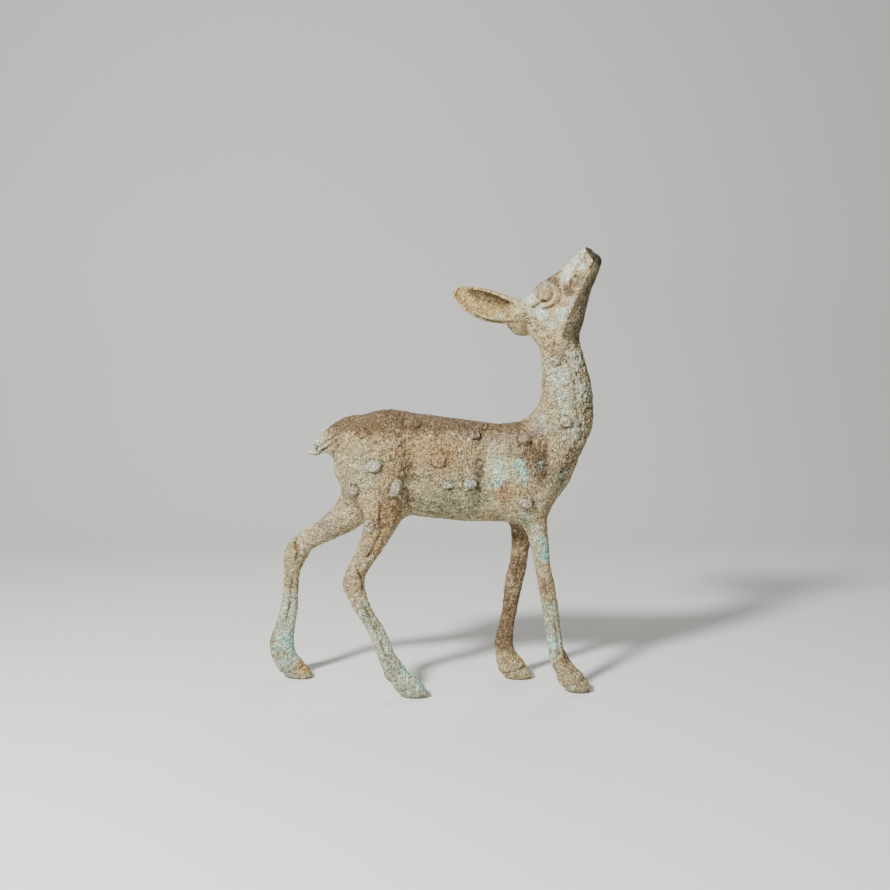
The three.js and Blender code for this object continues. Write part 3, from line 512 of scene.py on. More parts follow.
def press_spots(spots):
    skin = places()
    spot = in_hundredths(skin)
    facing = np.abs(outward()[:, 1])
    ragged = 0.22 * lattice_noise(skin, 0.0062, 5)
    rugged = 0.15 * lattice_noise(skin, 0.0045, 9)
    lift, rubbed = np.zeros(len(skin)), np.zeros(len(skin))
    for x, z, half_length, half_height, turn, paleness in spots:
        angle = math.radians(turn)
        dx, dz = spot[:, 0] - x, spot[:, 2] - z
        along = (dx * math.cos(angle) + dz * math.sin(angle)) / half_length
        up = (dz * math.cos(angle) - dx * math.sin(angle)) / half_height
        away = np.hypot(along, up) + ragged
        pad = 1 - smooth_step(0.84, 1.1, away)
        lift += SPOT_STEP * pad * (1 + rugged)
        rubbed = np.maximum(rubbed, paleness * pad)
    on_flank = smooth_step(0.15, 0.45, facing)
    put_places(skin + outward() * (lift * on_flank)[:, None])
    return rubbed * on_flank


rubbed_spots = press_spots(SPOTS)
print(len(SPOTS) * 2, "spots,", int((rubbed_spots > 0.5).sum()), "of their points rubbed pale")

# %% Cut the folds of the body and the tendons of the legs
FOLDS = [
    [(22.4, 57.4), (22.0, 53.0), (22.3, 48.4)],
    [(-23.4, 58.4), (-24.7, 55.4), (-25.7, 53.0)],
    [(-21.6, 57.6), (-22.8, 55.4), (-23.6, 53.6)],
]
NECK_FOLD = [(26.4, 77.0), (28.2, 72.0), (29.0, 67.9), (29.2, 64.3), (30.2, 60.5)]
TENDONS = [
    (-1, [(-18.7, 21.5), (-17.0, 18.0), (-15.3, 14.0), (-13.4, 9.6)]),
    (-1, [(-20.3, 29.6), (-18.9, 26.8), (-18.6, 24.2)]),
    (-1, [(-14.2, 38.2), (-15.8, 34.6), (-17.6, 31.4)]),
    (-1, [(-14.6, 43.0), (-14.9, 40.0), (-14.6, 37.4)]),
    (-1, [(24.5, 16.0), (25.1, 12.0), (25.5, 9.0)]),
    (-1, [(-23.8, 58.9), (-26.6, 57.2), (-29.2, 55.3)]),
    (-1, [(-24.4, 57.4), (-26.4, 55.8), (-28.4, 54.5)]),
    (1, [(-23.8, 58.9), (-26.6, 57.2), (-29.2, 55.3)]),
    (1, [(-34.9, 33.2), (-34.2, 31.0), (-34.6, 28.8)]),
    (1, [(-35.6, 24.0), (-36.1, 19.0), (-37.2, 14.0)]),
    (1, [(17.6, 29.6), (16.9, 26.0), (16.2, 22.4)]),
]

tree = clay_tree()
folds = [flank_line(tree, side, smooth_row(row)) for side in (-1, 1) for row in FOLDS]
print(carve(wire(folds), 0.0045, 0.0008), "folds cut")
tree = clay_tree()
neck_folds = [flank_line(tree, side, smooth_row(NECK_FOLD)) for side in (-1, 1)]
print(carve(wire(neck_folds), 0.004, 0.0008), "folds cut down the neck")
tree = clay_tree()
tendons = [leg_line(tree, side, smooth_row(row)) for side, row in TENDONS]
tendons += [leg_line(tree, side, smooth_row(row), True) for side, row in TENDONS]
print(carve(wire(tendons), 0.0022, 0.0015), "tendons cut, inside and outside of the legs")

# %% Carve the eyes and the mouth
EYE_PLACE = (2.5, 3.1)


def eye_arc(radius, start, end, steps=14):
    """Places on an arc round the middle of the eye, in the head's frame."""
    row = []
    for step in range(steps + 1):
        angle = math.radians(start + (end - start) * step / steps)
        row.append((EYE_PLACE[0] + radius * math.cos(angle), EYE_PLACE[1] + radius * math.sin(angle)))
    return row


def on_cheeks(rows):
    tree = clay_tree()
    return wire([cheek_line(tree, side, row) for side in (-1, 1) for row in rows])


EYE_CORNER = smooth_row([(-1.4, 3.5), (-0.6, 3.3), (0.5, 2.9), (1.2, 2.3)], 4)
LOWER_LID = eye_arc(1.75, -160, 25)
UPPER_LID = smooth_row([(0.4, 3.6), (1.4, 4.6), (2.7, 5.1), (4.0, 4.6)], 4)
POUCH = smooth_row([(-0.5, 1.5), (1.0, 0.2), (2.7, -0.5), (4.4, -0.1), (5.4, 1.0), (5.7, 1.9)], 4)
TEAR_PIT = smooth_row([(4.6, 4.9), (5.5, 4.4), (6.4, 3.6)], 3)
TEAR_FOLD = smooth_row([(5.3, 5.5), (6.5, 5.1), (7.6, 4.1)], 3)
CHEEK_LINE = smooth_row([(7.4, -0.4), (8.6, 0.3), (9.6, 0.2)], 3)
BROW_NOTCH = smooth_row([(9.9, 4.4), (10.8, 3.8), (11.4, 2.9)], 3)
MOUTH = smooth_row([(15.3, -0.9), (13.6, -1.2), (11.6, -1.3), (9.8, -1.5)], 4)
NOSTRIL = smooth_row([(14.0, 1.2), (14.7, 1.7), (15.3, 1.3)], 3)

print(carve(on_cheeks([LOWER_LID]), 0.0021, 0.0034), "lower lids")
print(carve(on_cheeks([EYE_CORNER]), 0.0019, 0.0026), "corners of the eyes")
print(carve(on_cheeks([UPPER_LID]), 0.0019, 0.0013), "upper lids")
print(carve(on_cheeks([POUCH]), 0.0021, 0.0030), "pouches under the eyes")
print(carve(on_cheeks([eye_arc(2.55, -150, 10)]), 0.0021, -0.0019), "ridges between lid and pouch")
cheek_rows = [TEAR_PIT, TEAR_FOLD, CHEEK_LINE, BROW_NOTCH]
print(carve(on_cheeks(cheek_rows), 0.0017, 0.0016), "lines of the cheeks")
print(carve(on_cheeks([MOUTH]), 0.0014, 0.0013), "sides of the mouth")
print(carve(on_cheeks([NOSTRIL]), 0.0014, 0.0018), "nostrils")

# %% Swell the eyeballs, brows and cheeks
FACE_FORMS = [
    # x, z, half length, half height, lift in millimetres
    (2.9, 3.2, 1.45, 1.35, 2.2),
    (1.2, 5.7, 2.6, 0.8, 1.2),
    (3.0, -1.6, 3.4, 0.9, 0.8),
    (6.4, 0.6, 1.9, 1.6, 0.7),
    (0.4, -1.6, 2.6, 1.8, 0.9),
    (8.8, 2.6, 1.2, 1.2, -0.8),
    (14.6, 1.9, 1.0, 0.8, 0.7),
    (13.3, -1.2, 1.6, 0.7, 0.6),
]


def swell_face(forms):
    skin = places()
    spot = in_head(skin)
    beside = smooth_step(1.2, 2.4, np.abs(spot[:, 1])) * head_share
    lift = np.zeros(len(skin))
    for x, z, half_length, half_height, millimetres in forms:
        away = ((spot[:, 0] - x) / half_length) ** 2 + ((spot[:, 2] - z) / half_height) ** 2
        lift += millimetres / 1000 * np.exp(-away)
    not_ear = smooth_step(7.2, 6.0, spot[:, 2] + 0.6 * (1.5 - spot[:, 0]))
    put_places(skin + outward() * (lift * beside * not_ear)[:, None])
    return float(lift.max())


print("face swelled by", round(swell_face(FACE_FORMS) * 1000, 2), "mm at most")

# %% [markdown]
# ## Knowing the ears
# The ears carry a finish of their own, so the points of an ear have to be told from the rest, and its
# scoop from its back. Both ears follow one line of stations; the left one is laid back and spread, so
# its points are turned into the right one's pose first. What counts is the nearest place on the line
# and the offset from it along the way the scoop opens.

# %% Find the ears' scoops, rims and backs
EAR_LINE = np.array([
    (-3.5, 3.6, 5.3), (-5.5, 5.6, 7.8), (-6.5, 7.0, 10.2), (-7.3, 8.3, 12.7), (-8.1, 9.4, 15.3),
    (-8.4, 10.4, 18.3),
])
EAR_OPENS = np.array([0.35, 0.9, -0.2]) / np.linalg.norm([0.35, 0.9, -0.2])


def upright_ears(rows, pivot):
    """Rows in the head's frame, mirrored to one side, the left ear's turned like the right one's."""
    laid_back = Matrix.Rotation(math.radians(-19), 3, "Y") @ Matrix.Rotation(math.radians(-20), 3, "X")
    turned = (rows - pivot) @ np.array(laid_back) + pivot
    mirrored = rows * np.array([1, -1, 1])
    is_left = in_head(places())[:, 1] > 0
    return np.where(is_left[:, None], turned, mirrored)


def ear_shares():
    """For each point: how much it is ear, scoop and rim, how far out it is, and how high in the ear."""
    spot = upright_ears(in_head(places()), EAR_LINE[0])
    axes = np.array([muzzle_way, left_way, forehead_way])
    facing = upright_ears(outward() @ axes.T, np.zeros(3)) @ EAR_OPENS
    nearest = np.full(len(spot), np.inf)
    offset = np.zeros(len(spot))
    along = np.zeros(len(spot))
    height = np.zeros(len(spot))
    for i, (start, end) in enumerate(zip(EAR_LINE, EAR_LINE[1:])):
        run = end - start
        t = np.clip((spot - start) @ run / (run @ run), 0, 1)
        gap = spot - start - t[:, None] * run
        distance = np.linalg.norm(gap, axis=1)
        closer = distance < nearest
        nearest = np.where(closer, distance, nearest)
        offset = np.where(closer, gap @ EAR_OPENS, offset)
        along = np.where(closer, i + t, along)
        height = np.where(closer, gap @ axes[:, 2], height)
    ear = head_share * smooth_step(0.15, 0.8, along) * smooth_step(5.0, 4.2, nearest)
    scoop = ear * smooth_step(0.05, 0.35, facing) * smooth_step(1.1, 0.7, offset)
    scoop *= smooth_step(0.6, 1.3, along)
    rim = ear * smooth_step(0.6, 1.1, offset) * smooth_step(0.6, 1.3, along) * (1 - scoop)
    return ear, scoop, rim, along, height


SCOOP_DEPTH = 0.0040
ear, scoop, ear_rim, ear_along, ear_height = ear_shares()
put_places(places() - outward() * (SCOOP_DEPTH * scoop)[:, None])
print("ears take", int((ear > 0.5).sum()), "points, their scoops", int((scoop > 0.5).sum()))

# %% [markdown]
# ## Curls of hair
# The front of the neck, the ruff behind the cheeks and the tail are covered with small curls. They
# repeat, so they are scattered rather than placed: a Geometry Nodes tree strews points over the clay
# where an attribute asks for them, never closer than a spacing, and puts a short arc on each. The arcs
# go to the line tool, which cuts them all at once.

# %% Build the curl scatterer
def curl_scatterer():
    tree = bpy.data.node_groups.new("scatter_curls", "GeometryNodeTree")
    sockets = {}
    for name, kind in (
        ("Clay", "NodeSocketGeometry"),
        ("Spacing", "NodeSocketFloat"),
        ("Radius", "NodeSocketFloat"),
        ("Seed", "NodeSocketInt"),
        ("Finish", "NodeSocketMaterial"),
    ):
        sockets[name] = tree.interface.new_socket(name, in_out="INPUT", socket_type=kind)
    tree.interface.new_socket("Arcs", in_out="OUTPUT", socket_type="NodeSocketGeometry")
    nodes, links = tree.nodes, tree.links
    entry = nodes.new("NodeGroupInput")
    where_asked = nodes.new("GeometryNodeInputNamedAttribute")
    where_asked.data_type = "FLOAT"
    where_asked.inputs["Name"].default_value = "curls"
    strew = nodes.new("GeometryNodeDistributePointsOnFaces")
    strew.distribute_method = "POISSON"
    strew.inputs["Density Max"].default_value = 90000
    arc = nodes.new("GeometryNodeCurveArc")
    arc.inputs["Resolution"].default_value = 7
    arc.inputs["Sweep Angle"].default_value = math.radians(230)
    edges = nodes.new("GeometryNodeCurveToMesh")
    spin = nodes.new("FunctionNodeRandomValue")
    spin.data_type = "FLOAT"
    spin.inputs[3].default_value = 2 * math.pi
    about_normal = nodes.new("FunctionNodeAxisAngleToRotation")
    turn = nodes.new("FunctionNodeRotateRotation")
    turn.rotation_space = "LOCAL"
    place = nodes.new("GeometryNodeInstanceOnPoints")
    real = nodes.new("GeometryNodeRealizeInstances")
    paint = nodes.new("GeometryNodeSetMaterial")
    leave = nodes.new("NodeGroupOutput")
    links.new(entry.outputs["Clay"], strew.inputs["Mesh"])
    links.new(entry.outputs["Spacing"], strew.inputs["Distance Min"])
    links.new(where_asked.outputs["Attribute"], strew.inputs["Density Factor"])
    links.new(entry.outputs["Seed"], strew.inputs["Seed"])
    links.new(entry.outputs["Radius"], arc.inputs["Radius"])
    links.new(arc.outputs["Curve"], edges.inputs["Curve"])
    links.new(spin.outputs[1], about_normal.inputs["Angle"])
    links.new(strew.outputs["Rotation"], turn.inputs["Rotation"])
    links.new(about_normal.outputs["Rotation"], turn.inputs["Rotate By"])
    links.new(strew.outputs["Points"], place.inputs["Points"])
    links.new(edges.outputs["Mesh"], place.inputs["Instance"])
    links.new(turn.outputs["Rotation"], place.inputs["Rotation"])
    links.new(place.outputs["Instances"], real.inputs["Geometry"])
    links.new(real.outputs["Geometry"], paint.inputs["Geometry"])
    links.new(entry.outputs["Finish"], paint.inputs["Material"])
    links.new(paint.outputs["Geometry"], leave.inputs[0])
    return tree, {name: socket.identifier for name, socket in sockets.items()}


CURL_SCATTERER, SCATTER_INPUTS = curl_scatterer()


def keep(name, values):
    """Writes one number per point to the clay, for trees and the material to read."""
    attribute = clay.data.attributes.get(name) or clay.data.attributes.new(name, "FLOAT", "POINT")
    attribute.data.foreach_set("value", np.asarray(values, np.float32))


def scattered_curls(spacing, radius, seed):
    """A wire of small arcs on the clay, strewn where its curls attribute is high."""
    arcs = bpy.data.objects.new("curls", clay.data.copy())
    bpy.context.scene.collection.objects.link(arcs)
    scatter = arcs.modifiers.new("scatter", "NODES")
    scatter.node_group = CURL_SCATTERER
    scatter[SCATTER_INPUTS["Spacing"]] = spacing
    scatter[SCATTER_INPUTS["Radius"]] = radius
    scatter[SCATTER_INPUTS["Seed"]] = seed
    scatter[SCATTER_INPUTS["Finish"]] = finish
    return applied(arcs)


# %% Strew the curls and cut them
spot = in_hundredths(places())
face_spot = in_head(places())
NECK_LEVELS = [46, 52, 56, 61.5, 67.3, 74, 80]
NECK_FRONTS = [25, 26.6, 28.4, 30.6, 31, 30, 29]
neck_front = np.interp(spot[:, 2], NECK_LEVELS, NECK_FRONTS)
on_neck = smooth_step(-0.6, 0.8, spot[:, 0] - neck_front) * smooth_step(46, 52, spot[:, 2])
on_neck *= smooth_step(84, 80, spot[:, 2]) * (1 - ear)
ruff = smooth_step(-2.6, -4.2, face_spot[:, 0]) * head_share * (1 - ear)
ruff *= smooth_step(-7, -4, face_spot[:, 0])
on_tail = smooth_step(-22.5, -24.5, spot[:, 0]) * smooth_step(50, 52, spot[:, 2])
keep("curls", np.maximum(np.maximum(on_neck, ruff), 0.5 * on_tail))
print(carve(scattered_curls(0.0062, 0.0026, 4), 0.0014, 0.0016), "edges of curls cut")

# %% [markdown]
# ## Hooves
# A hoof is smooth horn, and the coat ends above it in a soft edge, the coronet, that slopes down to
# the heel. So the coat is lifted a little above a sloping plane through each foot.

# %% Set the coronets
CORONETS = [
    # x, y and z of a place on the edge, in the middle of the foot
    (-7.9, -8.2, 3.0),
    (-34.7, 8.2, 2.9),
    (29.0, -5.8, 2.9),
    (17.4, 5.8, 2.9),
]
CORONET_STEP = 0.0014


def set_coronets(coronets):
    skin = places()
    spot = in_hundredths(skin)
    lift = np.zeros(len(skin))
    for x, y, z in coronets:
        above = (spot[:, 2] - z) - 0.35 * (spot[:, 0] - x)
        near = smooth_step(7.5, 5.5, np.linalg.norm(spot - np.array([x, y, z]), axis=1))
        edge = smooth_step(-0.18, 0.18, above) * smooth_step(3.6, 0.4, above)
        groove = np.exp(-((above + 0.3) / 0.22) ** 2)
        lift += CORONET_STEP * near * (edge - 0.5 * groove)
    put_places(skin + outward() * lift[:, None])
    return len(coronets)


print(set_coronets(CORONETS), "coronets set")

# %% [markdown]
# ## The skin of a sand casting
# Molten metal takes up the grain of the sand mould, so the whole figure is covered with small lumps
# and pits, and wider waves where the sand was rammed unevenly. Three sizes of the lattice noise make
# it; pits are sharpened by squaring the noise, since sand grains leave round bottoms and steep edges.

# %% Cover the clay with casting grain
WAVE_HEIGHT = 0.0006
LUMP_HEIGHT = 0.0004
GRAIN_HEIGHT = 0.0006

skin = places()
waves = lattice_noise(skin, 0.021, 3)
lumps = lattice_noise(skin, 0.0085, 7)
grain = lattice_noise(skin, 0.0046, 11)
pits = -np.clip(lattice_noise(skin, 0.0058, 23) - 0.25, 0, 1) ** 2
calm = 1 - 0.55 * head_share
on_body = smooth_step(36, 46, in_hundredths(skin)[:, 2])
rough = WAVE_HEIGHT * waves * (0.15 + 0.85 * on_body)
rough = (rough + LUMP_HEIGHT * lumps + GRAIN_HEIGHT * (grain + 3 * pits)) * calm
off_the_ground = smooth_step(0.0006, 0.004, skin[:, 2])
put_places(skin + outward() * (rough * off_the_ground)[:, None])
print("grain from", round(rough.min() * 1000, 2), "to", round(rough.max() * 1000, 2), "mm")

# %% [markdown]
# ## Where the weather has worked
# The patina differs from place to place: dark dirt sits in hollows, edges are rubbed pale, and mint,
# white and ochre stains lie where water ran. Some dark and brown marks are painted shade instead, in
# the valleys of the flank and under the belly and the throat. A material can't know the shape around
# a point, so the mesh carries that knowledge in attributes: one number per point for hollows and
# edges, and one for each kind of stain, painted shade included, strong at its middle and fading out.
# Noise in the material then makes the ragged border of each stain.

# %% Measure hollows and edges
def hollowness(rounds):
    """How far each point lies under (above zero) or over the average around it, in millimetres."""
    skin = places()
    average = skin
    for _ in range(rounds):
        average = neighbour_mean(average)
    return ((average - skin) * outward()).sum(axis=1) * 1000


fine_hollow = hollowness(2)
broad_hollow = hollowness(14)
hollow = np.clip(0.5 + 0.45 * fine_hollow + 0.14 * broad_hollow, 0, 1)
print("hollows reach", round(float(broad_hollow.max()), 2), "mm")

# %% Lay the stains, with painted shade among the dark and brown ones
STAINS = {
    "mint": [
        # x, y, z, reach, strength
        (15.9, -7.5, 52.0, 1.5, 1.3), (16.5, -7.5, 50.2, 1.6, 1.3), (17.6, -7.5, 48.7, 1.3, 1.2),
        (11.2, -8, 52.6, 1.7, 0.75), (12.2, -8, 50.2, 1.6, 0.8), (11.4, -8, 47.8, 1.4, 0.65),
        (20.6, -7, 51.6, 1.4, 0.5), (19.6, -7, 49.0, 1.2, 0.5), (9.6, -8, 47.0, 1.4, 0.55),
        (15.6, -7, 44.0, 1.0, 0.8), (18.4, -6, 40.4, 1.1, 1.0), (21.4, -6, 62.8, 1.6, 0.6),
        (18.9, -5, 41.0, 1.2, 1.0), (21.0, -6, 35.0, 1.5, 0.9), (22.4, -6, 31.2, 1.5, 1.1),
        (23.6, -6, 19.0, 1.8, 0.6), (24.0, -6, 11.5, 1.9, 0.95), (24.3, -6, 8.5, 1.3, 1.0),
        (26.0, -5, 71.0, 1.5, 0.5), (23.9, -5, 64.0, 0.6, 1.2), (23.8, -5, 72.0, 1.2, 0.8),
        (24.6, -5, 69.4, 1.2, 0.8),
        (25.6, -5, 66.6, 1.3, 0.8), (26.6, -5, 64.0, 1.3, 0.75), (-11.2, -8, 47.1, 1.4, 0.5),
        (0.4, -8, 47.3, 1.4, 0.5), (-36.4, 8, 12.0, 2.6, 0.6), (-6.5, -9, 3.0, 1.6, 1.0),
        (-14.8, -8, 14.0, 2.2, 0.5), (-37.5, 8, 4.0, 3.0, 0.8), (-28.5, 0, 56.5, 2.0, 0.4),
        (-36.6, 8, 9.0, 3.4, 1.0), (-36.0, 8, 5.4, 2.4, 0.8), (-9.0, -8, 6.0, 2.8, 1.0),
        (-5.0, -8, 2.4, 2.4, 1.0), (20.0, -6, 38.0, 1.2, 0.75), (22.0, -6, 33.0, 1.5, 0.9),
        (18.2, 5.5, 38.5, 1.2, 0.5), (7.0, -8, 58.6, 1.0, 0.5), (8.5, -9, 49.0, 2.0, 0.45),
        (17.4, -7, 46.0, 1.0, 0.7),
    ],
    "pale": [
        (-29.5, 0, 56.0, 3.6, 0.8), (27.0, -5, 66.0, 2.6, 0.6), (25.5, -4, 72.0, 3.4, 0.75),
        (-36.0, 7, 16.0, 5.5, 0.75), (-31.0, 6, 34.0, 3.0, 0.7), (-14.0, -7, 12.0, 5.0, 0.7),
        (-8.0, -8, 3.5, 4.0, 0.8), (24.0, -6, 13.0, 3.6, 0.6), (11.5, -8, 50.5, 3.4, 0.55),
        (28.5, -6, 2.2, 3.0, 0.5), (5.3, -8, 47.9, 1.4, 0.9), (17.7, -6, 43.6, 1.5, 0.9),
        (-16.0, -8, 52.0, 1.7, 0.85), (28.6, -5, 60.0, 3.4, 0.7), (31.0, -4, 68.0, 3.4, 0.75),
        (28.0, -4, 50.0, 3.0, 0.4),
        (29.5, -4, 75.0, 3.0, 0.75), (27.5, -5, 68.0, 4.0, 0.6), (-18.5, -8, 50.0, 4.0, 0.4),
        (-2.0, -9, 50.0, 4.0, 0.35), (25.0, -4, 54.0, 3.0, 0.4), (26.8, -6, 61.6, 1.5, 0.6),
        (-22.5, -3, 49.0, 3.0, 0.4), (-17.0, -7, 38.4, 1.5, 0.7), (17.4, 6, 41.0, 1.2, 0.7),
        (6.2, -8, 58.8, 1.2, 0.7), (-11.2, -8, 47.1, 1.4, 0.7), (22.0, -5, 62.0, 3.0, 0.55),
    ],
    "warm": [
        (-1.0, -8, 54.0, 6.0, 0.8), (-17.0, -5, 60.0, 6.5, 0.7), (-13.0, -8, 41.0, 4.5, 0.9),
        (-8.0, -8, 55.0, 5.0, 0.7), (13.0, -8, 45.5, 2.4, 1.0), (17.0, -8, 60.0, 5.0, 0.7),
        (20.5, -6, 55.0, 3.6, 0.5), (-15.5, -6, 35.0, 3.5, 0.8), (-20.0, -6, 27.0, 3.0, 0.6),
        (17.0, 5, 30.0, 8.0, 0.6), (15.5, 6, 6.0, 5.0, 0.6), (22.5, -6, 25.0, 3.5, 0.6),
        (-18.0, 0, 63.0, 9.0, 0.5), (5.0, 0, 61.0, 9.0, 0.5), (-16.0, -8, 22.0, 3.0, 0.5),
        (27.0, -4, 56.0, 3.0, 0.5), (-12.0, -9, 50.5, 3.0, 0.7),
    ],
    "brown": [
        # the entries at x -8.2 and 7.4 are painted shade in the valleys behind the ribs and behind the
        # shoulder
        (-12.0, 0, 63.0, 8.0, 1.1), (4.0, 0, 61.5, 7.0, 0.9), (14.0, 0, 59.0, 5.0, 0.8),
        (-19.0, 0, 61.0, 4.0, 0.8), (19.0, -8, 54.0, 4.2, 0.9), (-12.5, -8, 43.0, 4.0, 0.6),
        (-8.2, -8, 50.0, 2.4, 0.8), (7.4, -8, 52.0, 2.0, 0.7), (21.0, -7, 50.0, 3.0, 0.8),
        (17.5, 5, 36.0, 5.0, 1.0), (17.0, 5, 27.0, 5.0, 0.8), (15.0, 6, 15.0, 6.0, 0.7),
        (32.0, -3, 70.0, 2.6, 0.3), (27.0, -5, 52.0, 2.6, 0.4), (-1.0, -5, 59.0, 3.4, 0.5),
        (-16.5, -7, 57.0, 3.0, 0.5), (22.2, -6, 25.5, 2.6, 0.6), (-13.6, -8, 39.0, 2.6, 0.6),
    ],
    "ochre": [
        (-33.4, 8, 2.6, 2.0, 1.3), (-34.6, 5, 31.5, 1.6, 0.9), (26.5, -6, 7.2, 1.9, 0.9),
        (28.0, -7, 3.8, 1.6, 0.6), (-14.6, -8, 36.5, 2.0, 0.7), (18.0, 5, 4.4, 1.9, 0.7),
        (-13.5, -9, 40.5, 2.0, 0.6), (20.0, -6, 42.6, 1.6, 0.6), (-6.0, -2, 62.0, 3.0, 0.3),
    ],
    "green": [
        (0.0, -7, 43.0, 5.0, 0.8), (7.0, -7, 43.5, 4.0, 0.8), (-5.0, -6, 43.0, 3.4, 0.7),
        (-20.5, -8, 48.5, 3.6, 0.6), (-19.5, -8, 54.0, 3.2, 0.5), (24.5, -5, 49.0, 4.0, 0.7),
        (18.6, -6, 39.5, 2.4, 0.9),
        (32.0, -3, 66.0, 3.0, 0.5), (31.0, -3, 60.0, 3.0, 0.4), (31.0, -3, 74.0, 3.0, 0.4),
        (0.0, 0, 39.0, 10.0, 0.5), (14.0, -4, 41.0, 3.0, 0.5), (-7.0, -7, 61.0, 1.6, 0.6),
    ],
    "lilac": [
        (5.0, -6, 60.5, 4.0, 0.7), (10.0, -7, 58.0, 3.6, 0.6), (16.5, -7, 59.0, 4.0, 0.7),
        (18.5, -7, 53.0, 4.0, 0.6), (-1.0, -3, 62.0, 4.0, 0.6), (21.0, -6, 61.0, 4.0, 0.6),
        (5.3, -8, 47.9, 1.4, 0.7), (17.7, -6, 43.6, 1.5, 0.7), (-22.0, -4, 44.0, 3.0, 0.6),
        (-26.5, 5, 37.0, 4.0, 0.8), (-37.0, 7, 12.0, 3.0, 0.5), (28.0, -6, 60.0, 3.0, 0.6),
    ],
    "dark": [
        # the entries at x -8.2, -8.6 and 7.4 are painted shade in the valleys behind the ribs and the
        # shoulder, those at x 33.5 and 31.5 painted shade under the throat, and the one at x 0, height
        # 39 painted shade under the belly
        (33.5, -3, 77.0, 3.6, 0.3), (31.5, 0, 78.0, 3.6, 0.4), (17.0, 4, 38.0, 5.0, 0.4),
        (-13.0, 0, 64.0, 7.0, 0.55), (4.0, 0, 62.5, 7.0, 0.5), (21.2, -7, 52.0, 2.2, 0.7),
        (18.0, -8, 55.5, 3.0, 0.4), (-8.2, -8, 50.0, 1.8, 0.5), (7.4, -8, 52.0, 1.4, 0.5),
        (0.0, 0, 39.0, 9.0, 0.35), (-24.0, -3, 57.0, 1.6, 0.4), (12.0, 0, 61.0, 5.0, 0.4),
        (-8.6, -8, 43.0, 1.6, 0.5), (14.0, -5, 42.0, 2.0, 0.35), (-22.0, 0, 61.5, 2.4, 0.35),
        (18.6, -6, 39.0, 2.2, 0.6),
        (-33.6, 8, 2.2, 1.8, 0.55), (17.4, 6, 2.5, 2.4, 0.55), (-26.5, 5, 38.0, 3.4, 0.5),
    ],
}


def stain_map(stains):
    spot = in_hundredths(places())
    total = np.zeros(len(spot))
    for x, y, z, reach, strength in stains:
        away = np.linalg.norm(spot - np.array([x, y, z]), axis=1) / reach
        total = np.maximum(total, strength * np.exp(-away ** 2 / 1.4))
    return total


maps = {name: stain_map(stains) for name, stains in STAINS.items()}
for name, values in maps.items():
    print(name, "covers", round(100 * float((values > 0.4).mean()), 1), "% of the points")

# %% [markdown]
# ## Stains and painted shade that follow the form
# Some stains follow a form of the fawn rather than lie at a place. The face is rubbed pale. Under the
# jaw the head is painted dark as shade, and the muzzle's end is dark, partly in its own colour and
# partly as painted shade. The lower legs are greyed, the back is brown along its top, the spots are
# rubbed, the soles are soiled, and the scoops of the ears are golden, with painted shadow along their
# edges and under their upper rims; the rims are paler, partly as a painted highlight. The same could
# be painted on an image, but colours set by place need no image and follow the height.

# %% Add the head's own stains, a painted highlight and painted shade under the jaw
HEAD_STAINS = {
    "pale": [
        # x, z, reach, strength, in the head's frame; the entry at 8.2, 1.6 is a painted highlight
        (-0.5, 5.6, 1.6, 0.8), (8.2, 1.6, 1.2, 1.0), (9.8, 2.6, 2.2, 0.9), (12.0, 0.3, 0.9, 1.0),
        (12.6, 3.4, 2.2, 0.85), (15.0, 2.4, 1.4, 0.8), (-1.6, 1.3, 2.2, 0.75), (-2.8, -2.1, 1.5, 0.8),
        (1.4, -3.0, 2.2, 0.85), (4.6, -2.6, 1.4, 0.7), (0.4, 3.6, 1.0, 0.5), (4.2, 0.6, 0.8, 0.6),
    ],
    "warm": [
        (2.8, 3.1, 1.3, 0.9), (0.8, -0.8, 1.8, 0.7), (2.9, -1.4, 1.8, 0.8), (6.7, 1.7, 1.0, 0.8),
        (10.1, 0.1, 0.9, 1.3), (13.6, 1.5, 1.4, 1.1), (4.8, 1.4, 1.2, 0.7), (14.6, 0.9, 0.9, 0.8),
    ],
    "lilac": [
        (6.6, 1.9, 1.2, 1.0), (4.0, 5.8, 1.8, 0.9), (13.8, 1.7, 1.2, 0.8), (5.2, 3.6, 1.2, 0.8),
        (1.6, 6.6, 1.6, 0.7),
    ],
    "brown": [
        (6.1, 5.2, 1.5, 1.0), (6.1, 3.2, 1.2, 0.9), (6.4, -0.6, 1.5, 1.0), (7.6, 4.8, 1.6, 1.0),
        (7.8, -0.6, 1.4, 0.9), (2.8, 3.1, 1.1, 0.5), (3.0, 6.6, 1.6, 0.7), (13.8, 3.8, 1.3, 0.6),
        (9.0, -0.4, 1.2, 0.7),
    ],
    "ochre": [(10.1, 0.1, 0.7, 1.0), (2.6, 3.2, 1.0, 0.6), (7.6, 0.2, 0.9, 0.6)],
    "dark": [
        (6.0, 5.6, 1.3, 0.7), (6.2, 3.0, 1.0, 0.5), (6.4, -0.9, 1.3, 0.7), (7.8, 5.2, 1.5, 0.6),
        (3.2, 7.0, 1.4, 0.6), (8.2, -0.8, 1.2, 0.7),
    ],
    "green": [(-4.6, 1.8, 1.8, 0.9), (-1.4, -0.6, 1.8, 0.7), (-0.8, 3.2, 1.6, 0.6)],
    "mint": [
        (-0.6, 5.8, 1.4, 0.75), (1.6, -3.0, 2.0, 0.5), (12.8, 2.8, 2.0, 0.5), (-1.8, 1.4, 1.6, 0.5),
        (12.0, 0.3, 0.8, 0.7),
    ],
}
head_spot = in_head(places())
